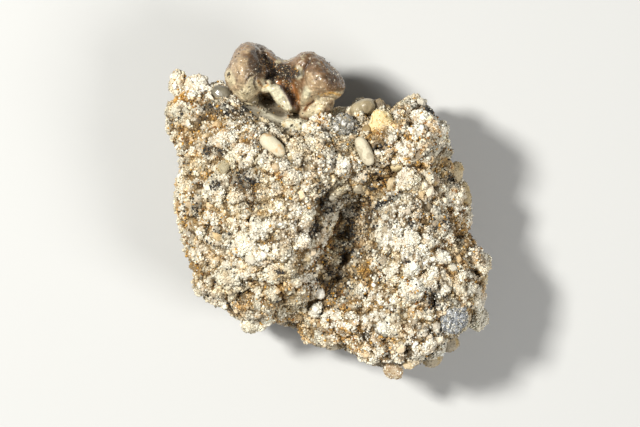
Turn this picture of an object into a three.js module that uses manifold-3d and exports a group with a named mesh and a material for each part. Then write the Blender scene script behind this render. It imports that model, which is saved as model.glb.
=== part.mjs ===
// Fossil ruminant tooth in its block of gritty rock, lying on the block's flat broken back.
// Millimetres, +Z up. +X and +Y run across the block as it is looked down on, with the tooth
// at the +Y end, and the origin is under the middle of the whole, on the surface it rests on.
import * as THREE from "three";
import { mergeVertices } from "three/addons/utils/BufferGeometryUtils.js";
import Module from "manifold-3d";

const ORIGIN_SHIFT = [-0.1, 0.1]; // from the outlines' own centre to the middle of the whole
const BOND_GAP = 0.15; // gap left round the tooth and each clast

// Each shaped piece has its outline seen from above (x and y, clockwise), the centre that its
// outline is drawn round, the level its outline lies at, the heights of its front and back,
// and a fullness: 2 rounds its sides like an egg, more squares them. Relief gives the rises
// and hollows of its front: centre, reach along and across, turn in degrees and height.
const BLOCK = {
  centre: [0, 0],
  outline: [
    [-6.7, 12.9], [-3.6, 12.3], [-1.0, 11.4], [1.9, 11.0], [2.9, 11.8], [4.3, 12.0],
    [6.8, 11.4], [7.8, 12.0], [9.2, 12.1], [10.6, 11.8], [12.0, 10.8], [12.9, 9.6],
    [13.1, 7.8], [13.2, 5.9], [14.0, 4.5], [14.9, 2.2], [15.0, 0.0], [15.5, -2.0],
    [17.0, -5.1], [17.1, -7.7], [17.0, -10.0], [16.5, -11.8], [15.4, -13.0], [13.9, -13.8],
    [12.7, -15.2], [11.6, -16.2], [9.9, -16.9], [6.5, -17.0], [4.3, -16.4], [2.3, -15.5],
    [-1.4, -14.0], [-3.2, -13.0], [-5.0, -11.9], [-6.3, -11.8], [-7.5, -12.5], [-8.9, -12.4],
    [-11.4, -10.4], [-13.0, -9.7], [-14.0, -8.7], [-14.5, -6.9], [-15.8, -2.6], [-16.7, 1.8],
    [-16.4, 3.5], [-16.3, 5.5], [-17.0, 9.0], [-16.9, 10.7], [-16.8, 12.2], [-16.2, 13.3],
    [-14.4, 13.9], [-12.3, 13.8], [-9.8, 13.0],
  ],
  level: 8.2,
  front: 14.6,
  back: -1.6,
  fullness: 2.6,
  divisions: 12,
  relief: [
    { x: -9.8, y: 1.0, along: 9.5, across: 6.0, turn: 90, rise: 5.2 }, // big left lobe
    { x: -3.2, y: -1.0, along: 6.2, across: 2.1, turn: 82, rise: 2.8 }, // its right-hand crest
    { x: -3.4, y: 6.6, along: 4.6, across: 2.6, turn: 10, rise: 2.2 }, // shoulder by the tooth
    { x: 2.2, y: 1.4, along: 4.2, across: 1.3, turn: 74, rise: -3.6 }, // valley, upper reach
    { x: 0.9, y: -5.4, along: 3.8, across: 1.6, turn: 72, rise: -4.6 }, // valley, lower reach
    { x: -1.6, y: -10.8, along: 3.6, across: 1.3, turn: 42, rise: -3.4 }, // undercut at the foot
    { x: 1.0, y: -13.4, along: 4.6, across: 2.0, turn: -25, rise: 1.2 }, // apron at the foot
    { x: 11.0, y: -5.4, along: 7.4, across: 4.7, turn: 105, rise: 4.8 }, // right lobe
    { x: 7.4, y: 0.2, along: 3.6, across: 1.9, turn: 60, rise: 2.0 }, // bright broken face
    { x: 10.2, y: 8.4, along: 3.3, across: 3.1, turn: 0, rise: 4.6 }, // round knob
    { x: 6.4, y: 4.0, along: 3.0, across: 1.2, turn: 20, rise: -1.6 }, // groove below the knob
    { x: 3.6, y: 6.8, along: 3.2, across: 2.0, turn: 60, rise: 2.0 }, // rib beside the knob
    { x: -7.0, y: 12.6, along: 5.6, across: 1.9, turn: -4, rise: -4.4 }, // ledge below the tooth
    { x: 10.0, y: -14.6, along: 3.2, across: 1.8, turn: 0, rise: 1.6 }, // lumps at the lower tip
  ],
};

// Broken grain of the block as sine waves, each shorter and lower than the last
const WAVE_COUNT = 12;
const LONGEST_WAVE = 13.0;
const HIGHEST_WAVE = 0.3;
const WAVE_STEP = 0.84;

// Lumps of grit that stand out all over the block
const LUMP_COUNT = 72;
const SMALLEST_LUMP = 0.7;
const LUMP_SPREAD = 0.9;
const LOWEST_LUMP = 1.5;

// Lumps that make the outline: x, y and height, radius along and across, turn in degrees
const EDGE_LUMPS = [
  { x: -16.7, y: 14.2, z: 10.4, along: 1.3, across: 0.75, turn: 80 }, // spike at the corner
  { x: -14.5, y: 13.9, z: 10.2, along: 1.15, across: 1.0, turn: 20 }, // white lump beside it
  { x: 5.3, y: 11.6, z: 11.0, along: 0.9, across: 0.8, turn: 30 },
  { x: 11.3, y: -16.0, z: 9.6, along: 1.15, across: 1.0, turn: 40 },
  { x: 13.3, y: -14.4, z: 9.8, along: 1.1, across: 0.95, turn: 30 },
  { x: 14.0, y: 4.3, z: 9.6, along: 1.1, across: 0.7, turn: 80 },
  { x: 14.8, y: 1.9, z: 9.8, along: 1.3, across: 0.8, turn: 100 },
  { x: 16.4, y: -11.9, z: 8.8, along: 1.2, across: 0.9, turn: 60 },
  { x: -8.2, y: -12.2, z: 9.2, along: 1.3, across: 0.9, turn: 10 },
];

// Clasts that show as pieces of their own: place, half-axes, turn, and how far they are sunk
const CLASTS = [
  { name: "oval_pebble", x: -6.05, y: 7.15, size: [1.5, 0.85, 0.9], turn: -43, sink: 0.1,
    colour: 0xd9cdae, rough: 0.55 },
  { name: "smooth_grey_pebble", x: -11.8, y: 12.9, size: [1.15, 0.95, 0.95], turn: -20, sink: 0,
    colour: 0x8f897b, rough: 0.35 },
  { name: "long_pale_pebble", x: 3.85, y: 6.6, size: [1.65, 0.75, 0.85], turn: -66, sink: 0.1,
    colour: 0xd6ccb4, rough: 0.6 },
  { name: "yellow_clast", x: 5.55, y: 9.6, size: [1.5, 1.25, 1.2], turn: 80, sink: 0.2,
    colour: 0xd8c795, rough: 0.55 },
  { name: "speckled_dark_clast", x: 1.9, y: 9.4, size: [1.45, 1.15, 1.1], turn: -30, sink: 0.2,
    colour: 0x77736b, rough: 0.5 },
  { name: "glassy_top_clast", x: 3.7, y: 11.3, size: [1.5, 0.95, 1.1], turn: 25, height: 11.8,
    colour: 0xb3a88f, rough: 0.3 },
  { name: "blue_grey_clast", x: 13.6, y: -11.7, size: [1.5, 1.35, 1.2], turn: 30, sink: 0.3,
    colour: 0x8d9096, rough: 0.35 },
  { name: "tip_pebble", x: 7.15, y: -17.3, size: [1.05, 1.0, 1.0], turn: 0, height: 8.6,
    colour: 0xb7a78e, rough: 0.35 },
];
const CLAST_FULLNESS = 2.3;
const CLAST_DIVISIONS = 4;

// Prints left in the ledge below the tooth by pieces now lost
const HOLLOWS = [
  { x: -6.1, y: 11.3, size: [1.75, 0.62, 0.9], turn: -38, sink: 0 },
  { x: -3.0, y: 10.3, size: [0.85, 0.5, 0.7], turn: -8, sink: 0 },
];
const HOLLOW_DIVISIONS = 3;

// The tooth: two lobes in front, the wall behind them, and what shows of its roots
const TOOTH = [
  { // left lobe of the crown
    centre: [-9.02, 15.18], level: 12.6, front: 15.2, back: 9.2, fullness: 2.4, divisions: 6,
    outline: [
      [-8.8, 18.54], [-8.03, 18.37], [-7.48, 17.6], [-7.15, 16.5], [-6.93, 15.18],
      [-7.26, 14.08], [-7.7, 13.09], [-8.47, 12.32], [-9.24, 11.99], [-10.01, 12.54],
      [-10.78, 13.42], [-11.33, 14.3], [-11.44, 14.96], [-11.0, 16.06], [-10.56, 17.05],
      [-10.01, 17.93], [-9.46, 18.37],
    ],
    relief: [{ x: -9.5, y: 15.2, along: 2.4, across: 1.2, turn: 80, rise: 1.4 }],
  },
  { // right lobe of the crown, its inner edge creased
    centre: [-1.43, 14.74], level: 12.2, front: 14.8, back: 8.6, fullness: 2.4, divisions: 7,
    outline: [
      [-1.98, 17.55], [-0.88, 16.96], [0.39, 15.92], [1.21, 15.07], [1.65, 14.19],
      [1.65, 13.42], [1.32, 12.76], [0.77, 12.43], [-0.11, 12.65], [-1.21, 12.54],
      [-2.2, 11.99], [-3.08, 11.44], [-3.52, 11.88], [-3.63, 12.98], [-3.96, 14.08],
      [-4.29, 15.18], [-4.18, 16.06], [-3.52, 17.05], [-2.86, 17.43],
    ],
    relief: [
      { x: -0.5, y: 14.4, along: 1.9, across: 1.4, turn: -40, rise: 1.3 },
      { x: -2.9, y: 15.2, along: 1.6, across: 0.5, turn: 65, rise: -0.9 },
    ],
  },
  { // wall behind the lobes, hollowed towards them where the chewing surface is worn
    centre: [-5.28, 15.62], level: 10.4, front: 12.3, back: 7.4, fullness: 2.5, divisions: 6,
    outline: [
      [-8.36, 18.32], [-7.37, 18.26], [-6.49, 17.75], [-5.72, 17.05], [-4.77, 16.65],
      [-4.07, 16.89], [-3.41, 17.16], [-2.31, 17.32], [-1.1, 16.5], [-0.4, 15.4],
      [-1.2, 14.2], [-3.19, 13.7], [-4.95, 13.5], [-6.93, 13.5], [-8.9, 13.8],
      [-9.9, 15.2], [-9.5, 17.2],
    ],
    relief: [
      { x: -6.4, y: 17.0, along: 1.9, across: 0.5, turn: -38, rise: 0.9 },
      { x: -3.6, y: 16.2, along: 1.2, across: 0.5, turn: 20, rise: 0.7 },
      { x: -5.2, y: 15.0, along: 1.5, across: 0.7, turn: -20, rise: -0.8 },
    ],
  },
  { // stained floor of the groove between the lobes
    centre: [-4.9, 13.2], level: 11.0, front: 12.6, back: 8.4, fullness: 2.5, divisions: 5,
    outline: [
      [-7.6, 14.9], [-4.84, 15.18], [-3.0, 14.74], [-2.5, 13.42], [-2.6, 11.88],
      [-3.41, 10.8], [-4.6, 10.6], [-6.4, 11.3], [-7.8, 12.2], [-8.3, 13.4],
    ],
    relief: [{ x: -3.8, y: 12.8, along: 1.8, across: 0.4, turn: -65, rise: -0.5 }],
  },
  { // smooth pale root blade below the groove
    centre: [-5.28, 12.54], level: 13.2, front: 14.1, back: 11.6, fullness: 2.2, divisions: 4,
    outline: [
      [-6.38, 13.8], [-5.83, 14.13], [-5.17, 13.75], [-4.62, 12.98], [-4.18, 11.99],
      [-4.18, 11.11], [-4.62, 10.89], [-5.28, 11.49], [-6.05, 12.38], [-6.54, 13.2],
    ],
    relief: [],
  },
  { // small pillar at the top of the blade
    centre: [-7.0, 13.85], level: 12.8, front: 14.1, back: 11.4, fullness: 2.2, divisions: 3,
    outline: [[-7.0, 14.5], [-6.35, 14.2], [-6.35, 13.5], [-7.0, 13.2], [-7.7, 13.5], [-7.7, 14.2]],
    relief: [],
  },
  { // stump of the right root
    centre: [-1.32, 11.9], level: 11.2, front: 13.0, back: 8.2, fullness: 2.3, divisions: 4,
    outline: [
      [-2.53, 13.2], [-1.21, 13.5], [0.11, 13.2], [0.6, 12.43], [0.49, 11.55],
      [0.11, 10.5], [-0.77, 9.9], [-2.09, 9.8], [-3.19, 10.3], [-3.3, 11.9],
    ],
    relief: [],
  },
  { // stump of the left root, inside the rock
    centre: [-8.9, 12.2], level: 10.6, front: 12.3, back: 8.6, fullness: 2.3, divisions: 3,
    outline: [
      [-9.9, 13.8], [-8.0, 13.8], [-7.7, 12.2], [-8.1, 10.8], [-8.8, 10.2], [-9.6, 10.8],
      [-10.1, 12.2],
    ],
    relief: [],
  },
];

const wasm = await Module();
wasm.setup();
const radians = THREE.MathUtils.degToRad;
const GOLDEN_TURN = Math.PI * (3 - Math.sqrt(5));

// Closed surface of six patches, like a cube blown up to a ball: pointAt turns a direction
// into a place, and equal steps of angle keep the cells even.
const PATCHES = [
  [[0, 1, 0], [0, 0, 1]], [[0, 0, 1], [0, 1, 0]], [[0, 0, 1], [1, 0, 0]],
  [[1, 0, 0], [0, 0, 1]], [[1, 0, 0], [0, 1, 0]], [[0, 1, 0], [1, 0, 0]],
];
function closedSurface(divisions, pointAt) {
  const places = [];
  const triangles = [];
  const row = divisions + 1;
  for (const [right, up] of PATCHES) {
    const u = new THREE.Vector3(...right);
    const v = new THREE.Vector3(...up);
    const outward = u.clone().cross(v);
    const first = places.length / 3;
    for (let j = 0; j <= divisions; j++) {
      for (let i = 0; i <= divisions; i++) {
        const across = Math.tan(radians(90 * (i / divisions) - 45));
        const along = Math.tan(radians(90 * (j / divisions) - 45));
        const way = outward.clone().addScaledVector(u, across).addScaledVector(v, along);
        places.push(...pointAt(way.normalize()).toArray());
        if (i === divisions || j === divisions) continue;
        const corner = first + j * row + i;
        triangles.push(corner, corner + 1, corner + row + 1, corner, corner + row + 1, corner + row);
      }
    }
  }
  const geometry = new THREE.BufferGeometry();
  geometry.setAttribute("position", new THREE.Float32BufferAttribute(places, 3));
  geometry.setIndex(triangles);
  return mergeVertices(geometry, 1e-3);
}

// An outline's distance from its centre at any angle, read off a closed smooth curve
function reachOf({ outline, centre }) {
  const corners = outline.map(([x, y]) => new THREE.Vector3(x - centre[0], y - centre[1], 0));
  const samples = new THREE.CatmullRomCurve3(corners, true, "centripetal")
    .getPoints(outline.length * 10)
    .map((p) => ({ angle: Math.atan2(p.y, p.x), reach: Math.hypot(p.x, p.y) }))
    .sort((p, q) => p.angle - q.angle);
  const turn = (value) => (value + 4 * Math.PI) % (2 * Math.PI);
  return (angle) => {
    const after = samples.findIndex((s) => s.angle > angle);
    const q = samples[Math.max(after, 0)];
    const p = samples.at(Math.max(after, 0) - 1);
    const share = turn(angle - p.angle) / Math.max(turn(q.angle - p.angle), 1e-9);
    return p.reach + (q.reach - p.reach) * Math.min(share, 1);
  };
}

// Height of a piece's front over a point, from its rises and hollows
function frontHeight({ front, relief }, x, y) {
  return relief.reduce((height, { x: cx, y: cy, along, across, turn, rise }) => {
    const c = Math.cos(radians(turn));
    const s = Math.sin(radians(turn));
    const u = ((x - cx) * c + (y - cy) * s) / along;
    const v = ((y - cy) * c - (x - cx) * s) / across;
    return height + rise * Math.exp(-(u * u + v * v) / 2);
  }, front);
}

// A shaped piece's surface point for a direction: the outline's reach sideways and the height
// of the front or the back, joined by a rounded side. Grow makes it larger all round.
function pointOf(piece, grow = 0) {
  const { centre, level, back, fullness } = piece;
  const reachAt = reachOf(piece);
  return (way) => {
    const flat = Math.hypot(way.x, way.y);
    const tip = Math.abs(way.z);
    const swell = (flat ** fullness + tip ** fullness) ** (-1 / fullness);
    const angle = Math.atan2(way.y, way.x);
    const reach = (reachAt(angle) + grow) * flat * swell;
    const x = centre[0] + reach * Math.cos(angle);
    const y = centre[1] + reach * Math.sin(angle);
    const end = way.z > 0 ? frontHeight(piece, x, y) + grow : back - grow;
    return new THREE.Vector3(x, y, level + tip * swell * (end - level));
  };
}

// Ways spread evenly round a ball
function sphereWay(k, count) {
  const z = 1 - (2 * k + 1) / count;
  const r = Math.sqrt(1 - z * z);
  return new THREE.Vector3(r * Math.cos(GOLDEN_TURN * k), r * Math.sin(GOLDEN_TURN * k), z);
}

// The block's own point, with its face pushed in and out by the waves
const smoothBlockPoint = pointOf(BLOCK);
function blockPoint(way) {
  const place = smoothBlockPoint(way);
  let push = 0;
  for (let k = 0; k < WAVE_COUNT; k++) {
    const shrink = WAVE_STEP ** k;
    const phase = (2 * Math.PI * sphereWay(k, WAVE_COUNT).dot(place)) / (LONGEST_WAVE * shrink);
    push += HIGHEST_WAVE * shrink * Math.sin(phase + 2.4 * k);
  }
  return place.addScaledVector(new THREE.Vector3(way.x, way.y, way.z * 1.4).normalize(), push);
}

// Height of the block's front at x and y, without the waves
const blockReach = reachOf(BLOCK);
function faceHeight(x, y) {
  const { level, fullness } = BLOCK;
  const share = Math.min(Math.hypot(x, y) / blockReach(Math.atan2(y, x)), 0.97);
  return level + (1 - share ** fullness) ** (1 / fullness) * (frontHeight(BLOCK, x, y) - level);
}

// Rounded, slightly squared clast with half-axes given by size
function clastSurface(size, divisions) {
  return closedSurface(divisions, (way) => {
    const spread = way.toArray().reduce((sum, part) => sum + Math.abs(part) ** CLAST_FULLNESS, 0);
    return way.clone().multiply(new THREE.Vector3(...size)).multiplyScalar(spread ** (-1 / CLAST_FULLNESS));
  });
}

// A closed mesh as a solid for joining and cutting, and a solid back as a mesh's geometry
function solidOf(geometry, matrix = new THREE.Matrix4()) {
  const bare = new THREE.BufferGeometry();
  bare.setAttribute("position", geometry.getAttribute("position").clone());
  if (geometry.index) bare.setIndex(geometry.index.clone());
  const merged = mergeVertices(bare.applyMatrix4(matrix), 1e-3);
  return new wasm.Manifold(new wasm.Mesh({
    numProp: 3,
    vertProperties: merged.attributes.position.array,
    triVerts: new Uint32Array(merged.index.array),
  }));
}
function geometryOf(solid) {
  const { numProp, numVert, vertProperties, triVerts } = solid.getMesh();
  const places = new Float32Array(numVert * 3);
  for (let i = 0; i < numVert; i++) {
    places.set(vertProperties.subarray(i * numProp, i * numProp + 3), i * 3);
  }
  const geometry = new THREE.BufferGeometry();
  geometry.setAttribute("position", new THREE.BufferAttribute(places, 3));
  geometry.setIndex(new THREE.BufferAttribute(new Uint32Array(triVerts), 1));
  geometry.computeVertexNormals();
  return geometry;
}
const largest = (solid) => solid.decompose().sort((p, q) => q.volume() - p.volume())[0];
const shapedSolid = (piece, grow) => solidOf(closedSurface(piece.divisions, pointOf(piece, grow)));
const joined = (solids) => solids.reduce((whole, solid) => whole.add(solid));

function turned(x, y, z, turn) {
  return new THREE.Matrix4().makeRotationZ(radians(turn)).setPosition(x, y, z);
}
function clastPlace({ x, y, size, sink, height, turn }) {
  return turned(x, y, height ?? faceHeight(x, y) - sink * size[2], turn);
}

// Where the rock's own lumps of grit sit: spread evenly over the block, clear of the tooth,
// the clasts and the face that it rests on
function gritPlaces() {
  const places = [];
  for (let k = 0; k < LUMP_COUNT; k++) {
    const place = blockPoint(sphereWay(k, LUMP_COUNT));
    const pick = (k * 0.618034) % 1;
    const radius = SMALLEST_LUMP + LUMP_SPREAD * pick * pick;
    const nearTooth = place.y > 9.5 && place.x > -12 && place.x < 2.5;
    const apart = (c) => Math.hypot(place.x - c.x, place.y - c.y) - radius - c.size[0];
    const nearClast = place.z > BLOCK.level && CLASTS.some((c) => apart(c) < 0);
    if (place.z < LOWEST_LUMP + radius || nearTooth || nearClast) continue;
    const inward = place.clone().sub(new THREE.Vector3(0, 0, BLOCK.level)).normalize();
    const stretch = new THREE.Vector3(1.15, 0.95, 0.85).multiplyScalar(radius);
    const spin = new THREE.Quaternion().setFromEuler(new THREE.Euler(1.3 * k, 2.1 * k, 0.7 * k));
    places.push(new THREE.Matrix4().compose(place.addScaledVector(inward, -0.35 * radius), spin, stretch));
  }
  return places;
}

// Rock: the block broken off flat behind, with its lumps on, and pockets for what is set in it
function rockSolid() {
  const grain = new THREE.OctahedronGeometry(1.1, 0);
  const lumps = [
    ...gritPlaces().map((place) => solidOf(grain, place)),
    ...EDGE_LUMPS.map(({ x, y, z, along, across, turn }) =>
      solidOf(clastSurface([along, across, across], 2), turned(x, y, z, turn))),
  ];
  const pockets = [
    ...CLASTS.map((clast) =>
      solidOf(clastSurface(clast.size.map((s) => s + BOND_GAP), CLAST_DIVISIONS), clastPlace(clast))),
    ...TOOTH.map((piece) => shapedSolid(piece, BOND_GAP)),
    ...HOLLOWS.map((hollow) =>
      solidOf(clastSurface(hollow.size, HOLLOW_DIVISIONS), clastPlace(hollow))),
  ];
  const below = solidOf(new THREE.BoxGeometry(80, 80, 20).translate(0, 0, -10));
  const rock = solidOf(closedSurface(BLOCK.divisions, blockPoint)).add(joined(lumps));
  return largest(rock.subtract(below).subtract(joined(pockets)));
}

function piece(name, geometry, colour, roughness) {
  const finish = new THREE.MeshStandardMaterial({ color: colour, roughness, metalness: 0 });
  finish.flatShading = true;
  const mesh = new THREE.Mesh(geometry, finish);
  mesh.name = name;
  return mesh;
}

const specimen = new THREE.Group();
specimen.position.set(-ORIGIN_SHIFT[0], -ORIGIN_SHIFT[1], 0);
specimen.add(
  piece("matrix", geometryOf(rockSolid()), 0xcabd9f, 0.9),
  piece("tooth", geometryOf(joined(TOOTH.map((part) => shapedSolid(part, 0)))), 0x86695a, 0.25),
);
for (const clast of CLASTS) {
  const surface = clastSurface(clast.size, CLAST_DIVISIONS);
  const pebble = piece(clast.name, surface, clast.colour, clast.rough);
  pebble.applyMatrix4(clastPlace(clast));
  specimen.add(pebble);
}

const fossil = new THREE.Group();
fossil.add(specimen);
export default fossil;
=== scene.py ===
# %% [markdown]
# A ruminant's tooth, still in its rock. The specimen lies on its flat broken back, and we look
# straight down on it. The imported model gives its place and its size. This file keeps to both
# and adds what the plain solids leave out: the gritty skin of the rock, thousands of separate
# grains, the glossy enamel and the sediment packed into the hollows of the tooth.

# %% The frame to build in
import math

import bpy
import numpy as np
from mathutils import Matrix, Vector


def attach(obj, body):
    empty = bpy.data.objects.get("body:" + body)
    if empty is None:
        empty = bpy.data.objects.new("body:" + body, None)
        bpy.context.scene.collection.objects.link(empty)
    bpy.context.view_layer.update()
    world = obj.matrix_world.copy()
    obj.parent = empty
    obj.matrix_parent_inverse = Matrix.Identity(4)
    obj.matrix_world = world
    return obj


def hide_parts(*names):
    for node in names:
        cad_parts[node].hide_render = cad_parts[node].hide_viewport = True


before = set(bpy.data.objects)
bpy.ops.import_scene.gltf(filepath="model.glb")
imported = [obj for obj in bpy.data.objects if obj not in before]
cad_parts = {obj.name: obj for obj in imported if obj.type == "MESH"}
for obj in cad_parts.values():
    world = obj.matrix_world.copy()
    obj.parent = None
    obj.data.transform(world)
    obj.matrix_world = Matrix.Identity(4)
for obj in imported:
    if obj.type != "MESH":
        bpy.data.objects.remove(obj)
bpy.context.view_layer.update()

# %% [markdown]
# All shapes below are written in millimetres, from the centre that the outlines are drawn
# round. One helper moves finished points into the model's frame, in metres. Shapes and
# materials both use it, so a stain painted at a place sits on the grain at that place.

# %% Millimetres to the model's frame
MM = 0.001
ORIGIN_SHIFT = np.array([-0.1, 0.1, 0.0])
RNG = np.random.default_rng(seed=20)


def to_frame(places):
    """Millimetres from the outlines' centre, turned into metres from the model's origin."""
    return (places - ORIGIN_SHIFT) * MM


# %% [markdown]
# Nearly every shape here is a closed skin round a centre. A cube whose six faces are blown up
# to a ball gives a grid with no pinched poles, which a globe's grid would have at both ends.
# Each face is a plain grid of two parameters, and equal steps of angle keep the cells even.

# %% A ball of six grids
SIX_FACES = [
    ((0, 1, 0), (0, 0, 1)), ((0, 0, 1), (0, 1, 0)), ((0, 0, 1), (1, 0, 0)),
    ((1, 0, 0), (0, 0, 1)), ((1, 0, 0), (0, 1, 0)), ((0, 1, 0), (1, 0, 0)),
]


def ball_grid(cells):
    """Unit directions and quads: outward + tan(a) right + tan(b) up for a and b from -45 to
    45 degrees on each of six faces, scaled to length 1, with the shared edges welded."""
    turn = np.tan(np.radians(np.linspace(-45, 45, cells + 1)))
    a, b = np.meshgrid(turn, turn)
    corner = np.arange(cells * (cells + 1)).reshape(cells, cells + 1)[:, :-1].ravel()
    quad = np.stack([corner, corner + 1, corner + cells + 2, corner + cells + 1], 1)
    ways, quads = [], []
    for k, (right, up) in enumerate(SIX_FACES):
        outward = np.cross(right, up)
        face = outward + a[..., None] * np.array(right) + b[..., None] * np.array(up)
        ways.append(face.reshape(-1, 3))
        quads.append(quad + k * (cells + 1) ** 2)
    ways = np.concatenate(ways)
    ways /= np.linalg.norm(ways, axis=1, keepdims=True)
    _, first, where = np.unique(np.round(ways, 6), axis=0, return_index=True, return_inverse=True)
    return ways[first], where.ravel()[np.concatenate(quads)]


print("a ball of 6 by 4 by 4 cells has", len(ball_grid(4)[0]), "points")

# %% [markdown]
# The rock and every lobe of the tooth are shaped the same way. An outline is drawn as it is
# seen from above, and a smooth closed curve runs through its points. Each piece also has the
# level of its outline, the heights of its front and back, and a list of rises and hollows.
# The solids are shaped in the same way from nearly the same numbers. Here a few rises and
# hollows are gentler, because the crust that we lay on them adds to their height.

# %% Outlines and relief
def closed_curve(points, steps=10):
    """Smooth closed curve through points: between each two, a cubic whose end slopes come
    from the neighbours, spaced by the square root of their distance."""
    p0, p1, p2, p3 = (np.roll(points, k, 0) for k in (1, 0, -1, -2))
    d0, d1, d2 = (np.linalg.norm(q - p, axis=1, keepdims=True) ** 0.5
                  for p, q in ((p0, p1), (p1, p2), (p2, p3)))
    m1 = ((p1 - p0) / d0 - (p2 - p0) / (d0 + d1) + (p2 - p1) / d1) * d1
    m2 = ((p2 - p1) / d1 - (p3 - p1) / (d1 + d2) + (p3 - p2) / d2) * d1
    t = (np.arange(steps) / steps)[:, None, None]
    curve = (p1 + m1 * t + (-3 * p1 + 3 * p2 - 2 * m1 - m2) * t ** 2
             + (2 * p1 - 2 * p2 + m1 + m2) * t ** 3)
    return curve.transpose(1, 0, 2).reshape(-1, 2)


def reach_at(form, angle):
    """Distance from a form's centre to its outline at each angle."""
    if "table" not in form:
        curve = closed_curve(np.array(form["outline"], float) - form["centre"])
        form["table"] = np.arctan2(curve[:, 1], curve[:, 0]), np.hypot(curve[:, 0], curve[:, 1])
    return np.interp(angle, *form["table"], period=2 * np.pi)


def oval_squared(x, y, oval):
    """u*u + v*v, where u and v are distances along and across an oval in units of its reach.
    An oval is its centre's x and y, its reach along and across, and its turn."""
    cx, cy, along, across, turn = oval
    c, s = math.cos(math.radians(turn)), math.sin(math.radians(turn))
    u = ((x - cx) * c + (y - cy) * s) / along
    v = ((y - cy) * c - (x - cx) * s) / across
    return u * u + v * v


def front_height(form, x, y):
    """Front level plus a sum of hills, each of them rise times exp(-(u*u + v*v) / 2)."""
    height = np.full(np.shape(x), form["front"], float)
    for *oval, rise in form["relief"]:
        height += rise * np.exp(-oval_squared(x, y, oval) / 2)
    return height


def form_places(form, ways, grow=0.0):
    """Points of a form for unit directions: outline reach times flat, and level plus tip times
    the way to front or back, where flat^n + tip^n = 1 and n is the form's fullness."""
    flat = np.hypot(ways[:, 0], ways[:, 1])
    tip = np.abs(ways[:, 2])
    swell = (flat ** form["fullness"] + tip ** form["fullness"]) ** (-1 / form["fullness"])
    angle = np.arctan2(ways[:, 1], ways[:, 0])
    reach = (reach_at(form, angle) + grow) * flat * swell
    x = form["centre"][0] + reach * np.cos(angle)
    y = form["centre"][1] + reach * np.sin(angle)
    end = np.where(ways[:, 2] > 0, front_height(form, x, y) + grow, form["back"] - grow)
    return np.stack([x, y, form["level"] + tip * swell * (end - form["level"])], 1)


def inside(form, places, grow=0.0):
    """True for points inside a form: (distance / reach)^n + (rise / full rise)^n is below 1."""
    x, y = places[:, 0] - form["centre"][0], places[:, 1] - form["centre"][1]
    flat = np.hypot(x, y) / (reach_at(form, np.arctan2(y, x)) + grow)
    rise = places[:, 2] - form["level"]
    front = front_height(form, places[:, 0], places[:, 1]) + grow - form["level"]
    full = np.where(rise > 0, front, form["level"] - form["back"] + grow)
    return flat ** form["fullness"] + np.abs(rise / full) ** form["fullness"] < 1


# %% [markdown]
# Now the rock's own numbers. The relief list holds its landscape: the big left lobe with its
# crest, the dark valley, the right lobe with a bright broken face, the round knob, the ledge
# that carries the tooth and the low apron at the foot.

# %% The block
BLOCK = dict(
    centre=(0, 0), level=8.2, front=14.6, back=-1.6, fullness=2.6,
    outline=[
        (-6.7, 12.9), (-3.6, 12.3), (-1.0, 11.4), (1.9, 11.0), (2.9, 11.8), (4.3, 12.0),
        (6.8, 11.4), (7.8, 12.0), (9.2, 12.1), (10.6, 11.8), (12.0, 10.8), (12.9, 9.6),
        (13.1, 7.8), (13.2, 5.9), (14.0, 4.5), (14.9, 2.2), (15.0, 0.0), (15.5, -2.0),
        (17.0, -5.1), (17.1, -7.7), (17.0, -10.0), (16.5, -11.8), (15.4, -13.0), (13.9, -13.8),
        (12.7, -15.2), (11.6, -16.2), (9.9, -16.9), (6.5, -17.0), (4.3, -16.4), (2.3, -15.5),
        (-1.4, -14.0), (-3.2, -13.0), (-5.0, -11.9), (-6.3, -11.8), (-7.5, -12.5), (-8.9, -12.4),
        (-11.4, -10.4), (-13.0, -9.7), (-14.0, -8.7), (-14.5, -6.9), (-15.8, -2.6), (-16.7, 1.8),
        (-16.4, 3.5), (-16.3, 5.5), (-17.0, 9.0), (-16.9, 10.7), (-16.8, 12.2), (-16.2, 13.3),
        (-14.4, 13.9), (-12.3, 13.8), (-9.8, 13.0),
    ],
    relief=[  # x, y, reach along, reach across, turn, rise
        (-9.8, 1.0, 9.5, 6.0, 90, 5.2),  # big left lobe
        (-3.2, -1.0, 6.2, 2.1, 82, 2.2),  # its right-hand crest
        (-3.4, 6.6, 4.6, 2.6, 10, 2.2),  # shoulder by the tooth
        (3.7, 1.1, 3.4, 1.9, 50, -2.4),  # valley, upper reach
        (2.4, -2.8, 3.2, 3.1, 75, -2.9),  # valley, its deepest part
        (0.6, -7.2, 3.0, 2.8, 70, -2.9),  # valley, lower reach
        (-1.8, -10.9, 3.6, 1.2, 38, -2.3),  # undercut at the foot
        (1.0, -13.4, 4.6, 2.0, -25, 1.2),  # apron at the foot
        (11.0, -5.4, 7.4, 4.7, 105, 4.8),  # right lobe
        (7.4, 0.2, 3.6, 1.9, 60, 2.0),  # bright broken face
        (9.9, 8.4, 2.8, 2.7, 0, 6.0),  # round knob
        (7.2, 4.2, 2.4, 1.0, 20, -1.8),  # groove below the knob
        (11.6, 4.4, 2.6, 0.9, -15, -2.0),  # the groove's right part
        (3.6, 6.8, 3.2, 2.0, 60, 2.0),  # rib beside the knob
        (-7.0, 12.6, 5.6, 1.9, -4, -4.4),  # ledge below the tooth
        (10.0, -14.6, 3.2, 1.8, 0, 1.6),  # lumps at the lower tip
    ],
)
WAVE_COUNT, LONGEST_WAVE, HIGHEST_WAVE, WAVE_STEP, WAVE_TURN = 12, 13.0, 0.3, 0.84, 2.4
FRONT_PUSH = 1.4
GOLDEN_TURN = math.pi * (3 - math.sqrt(5))


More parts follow.
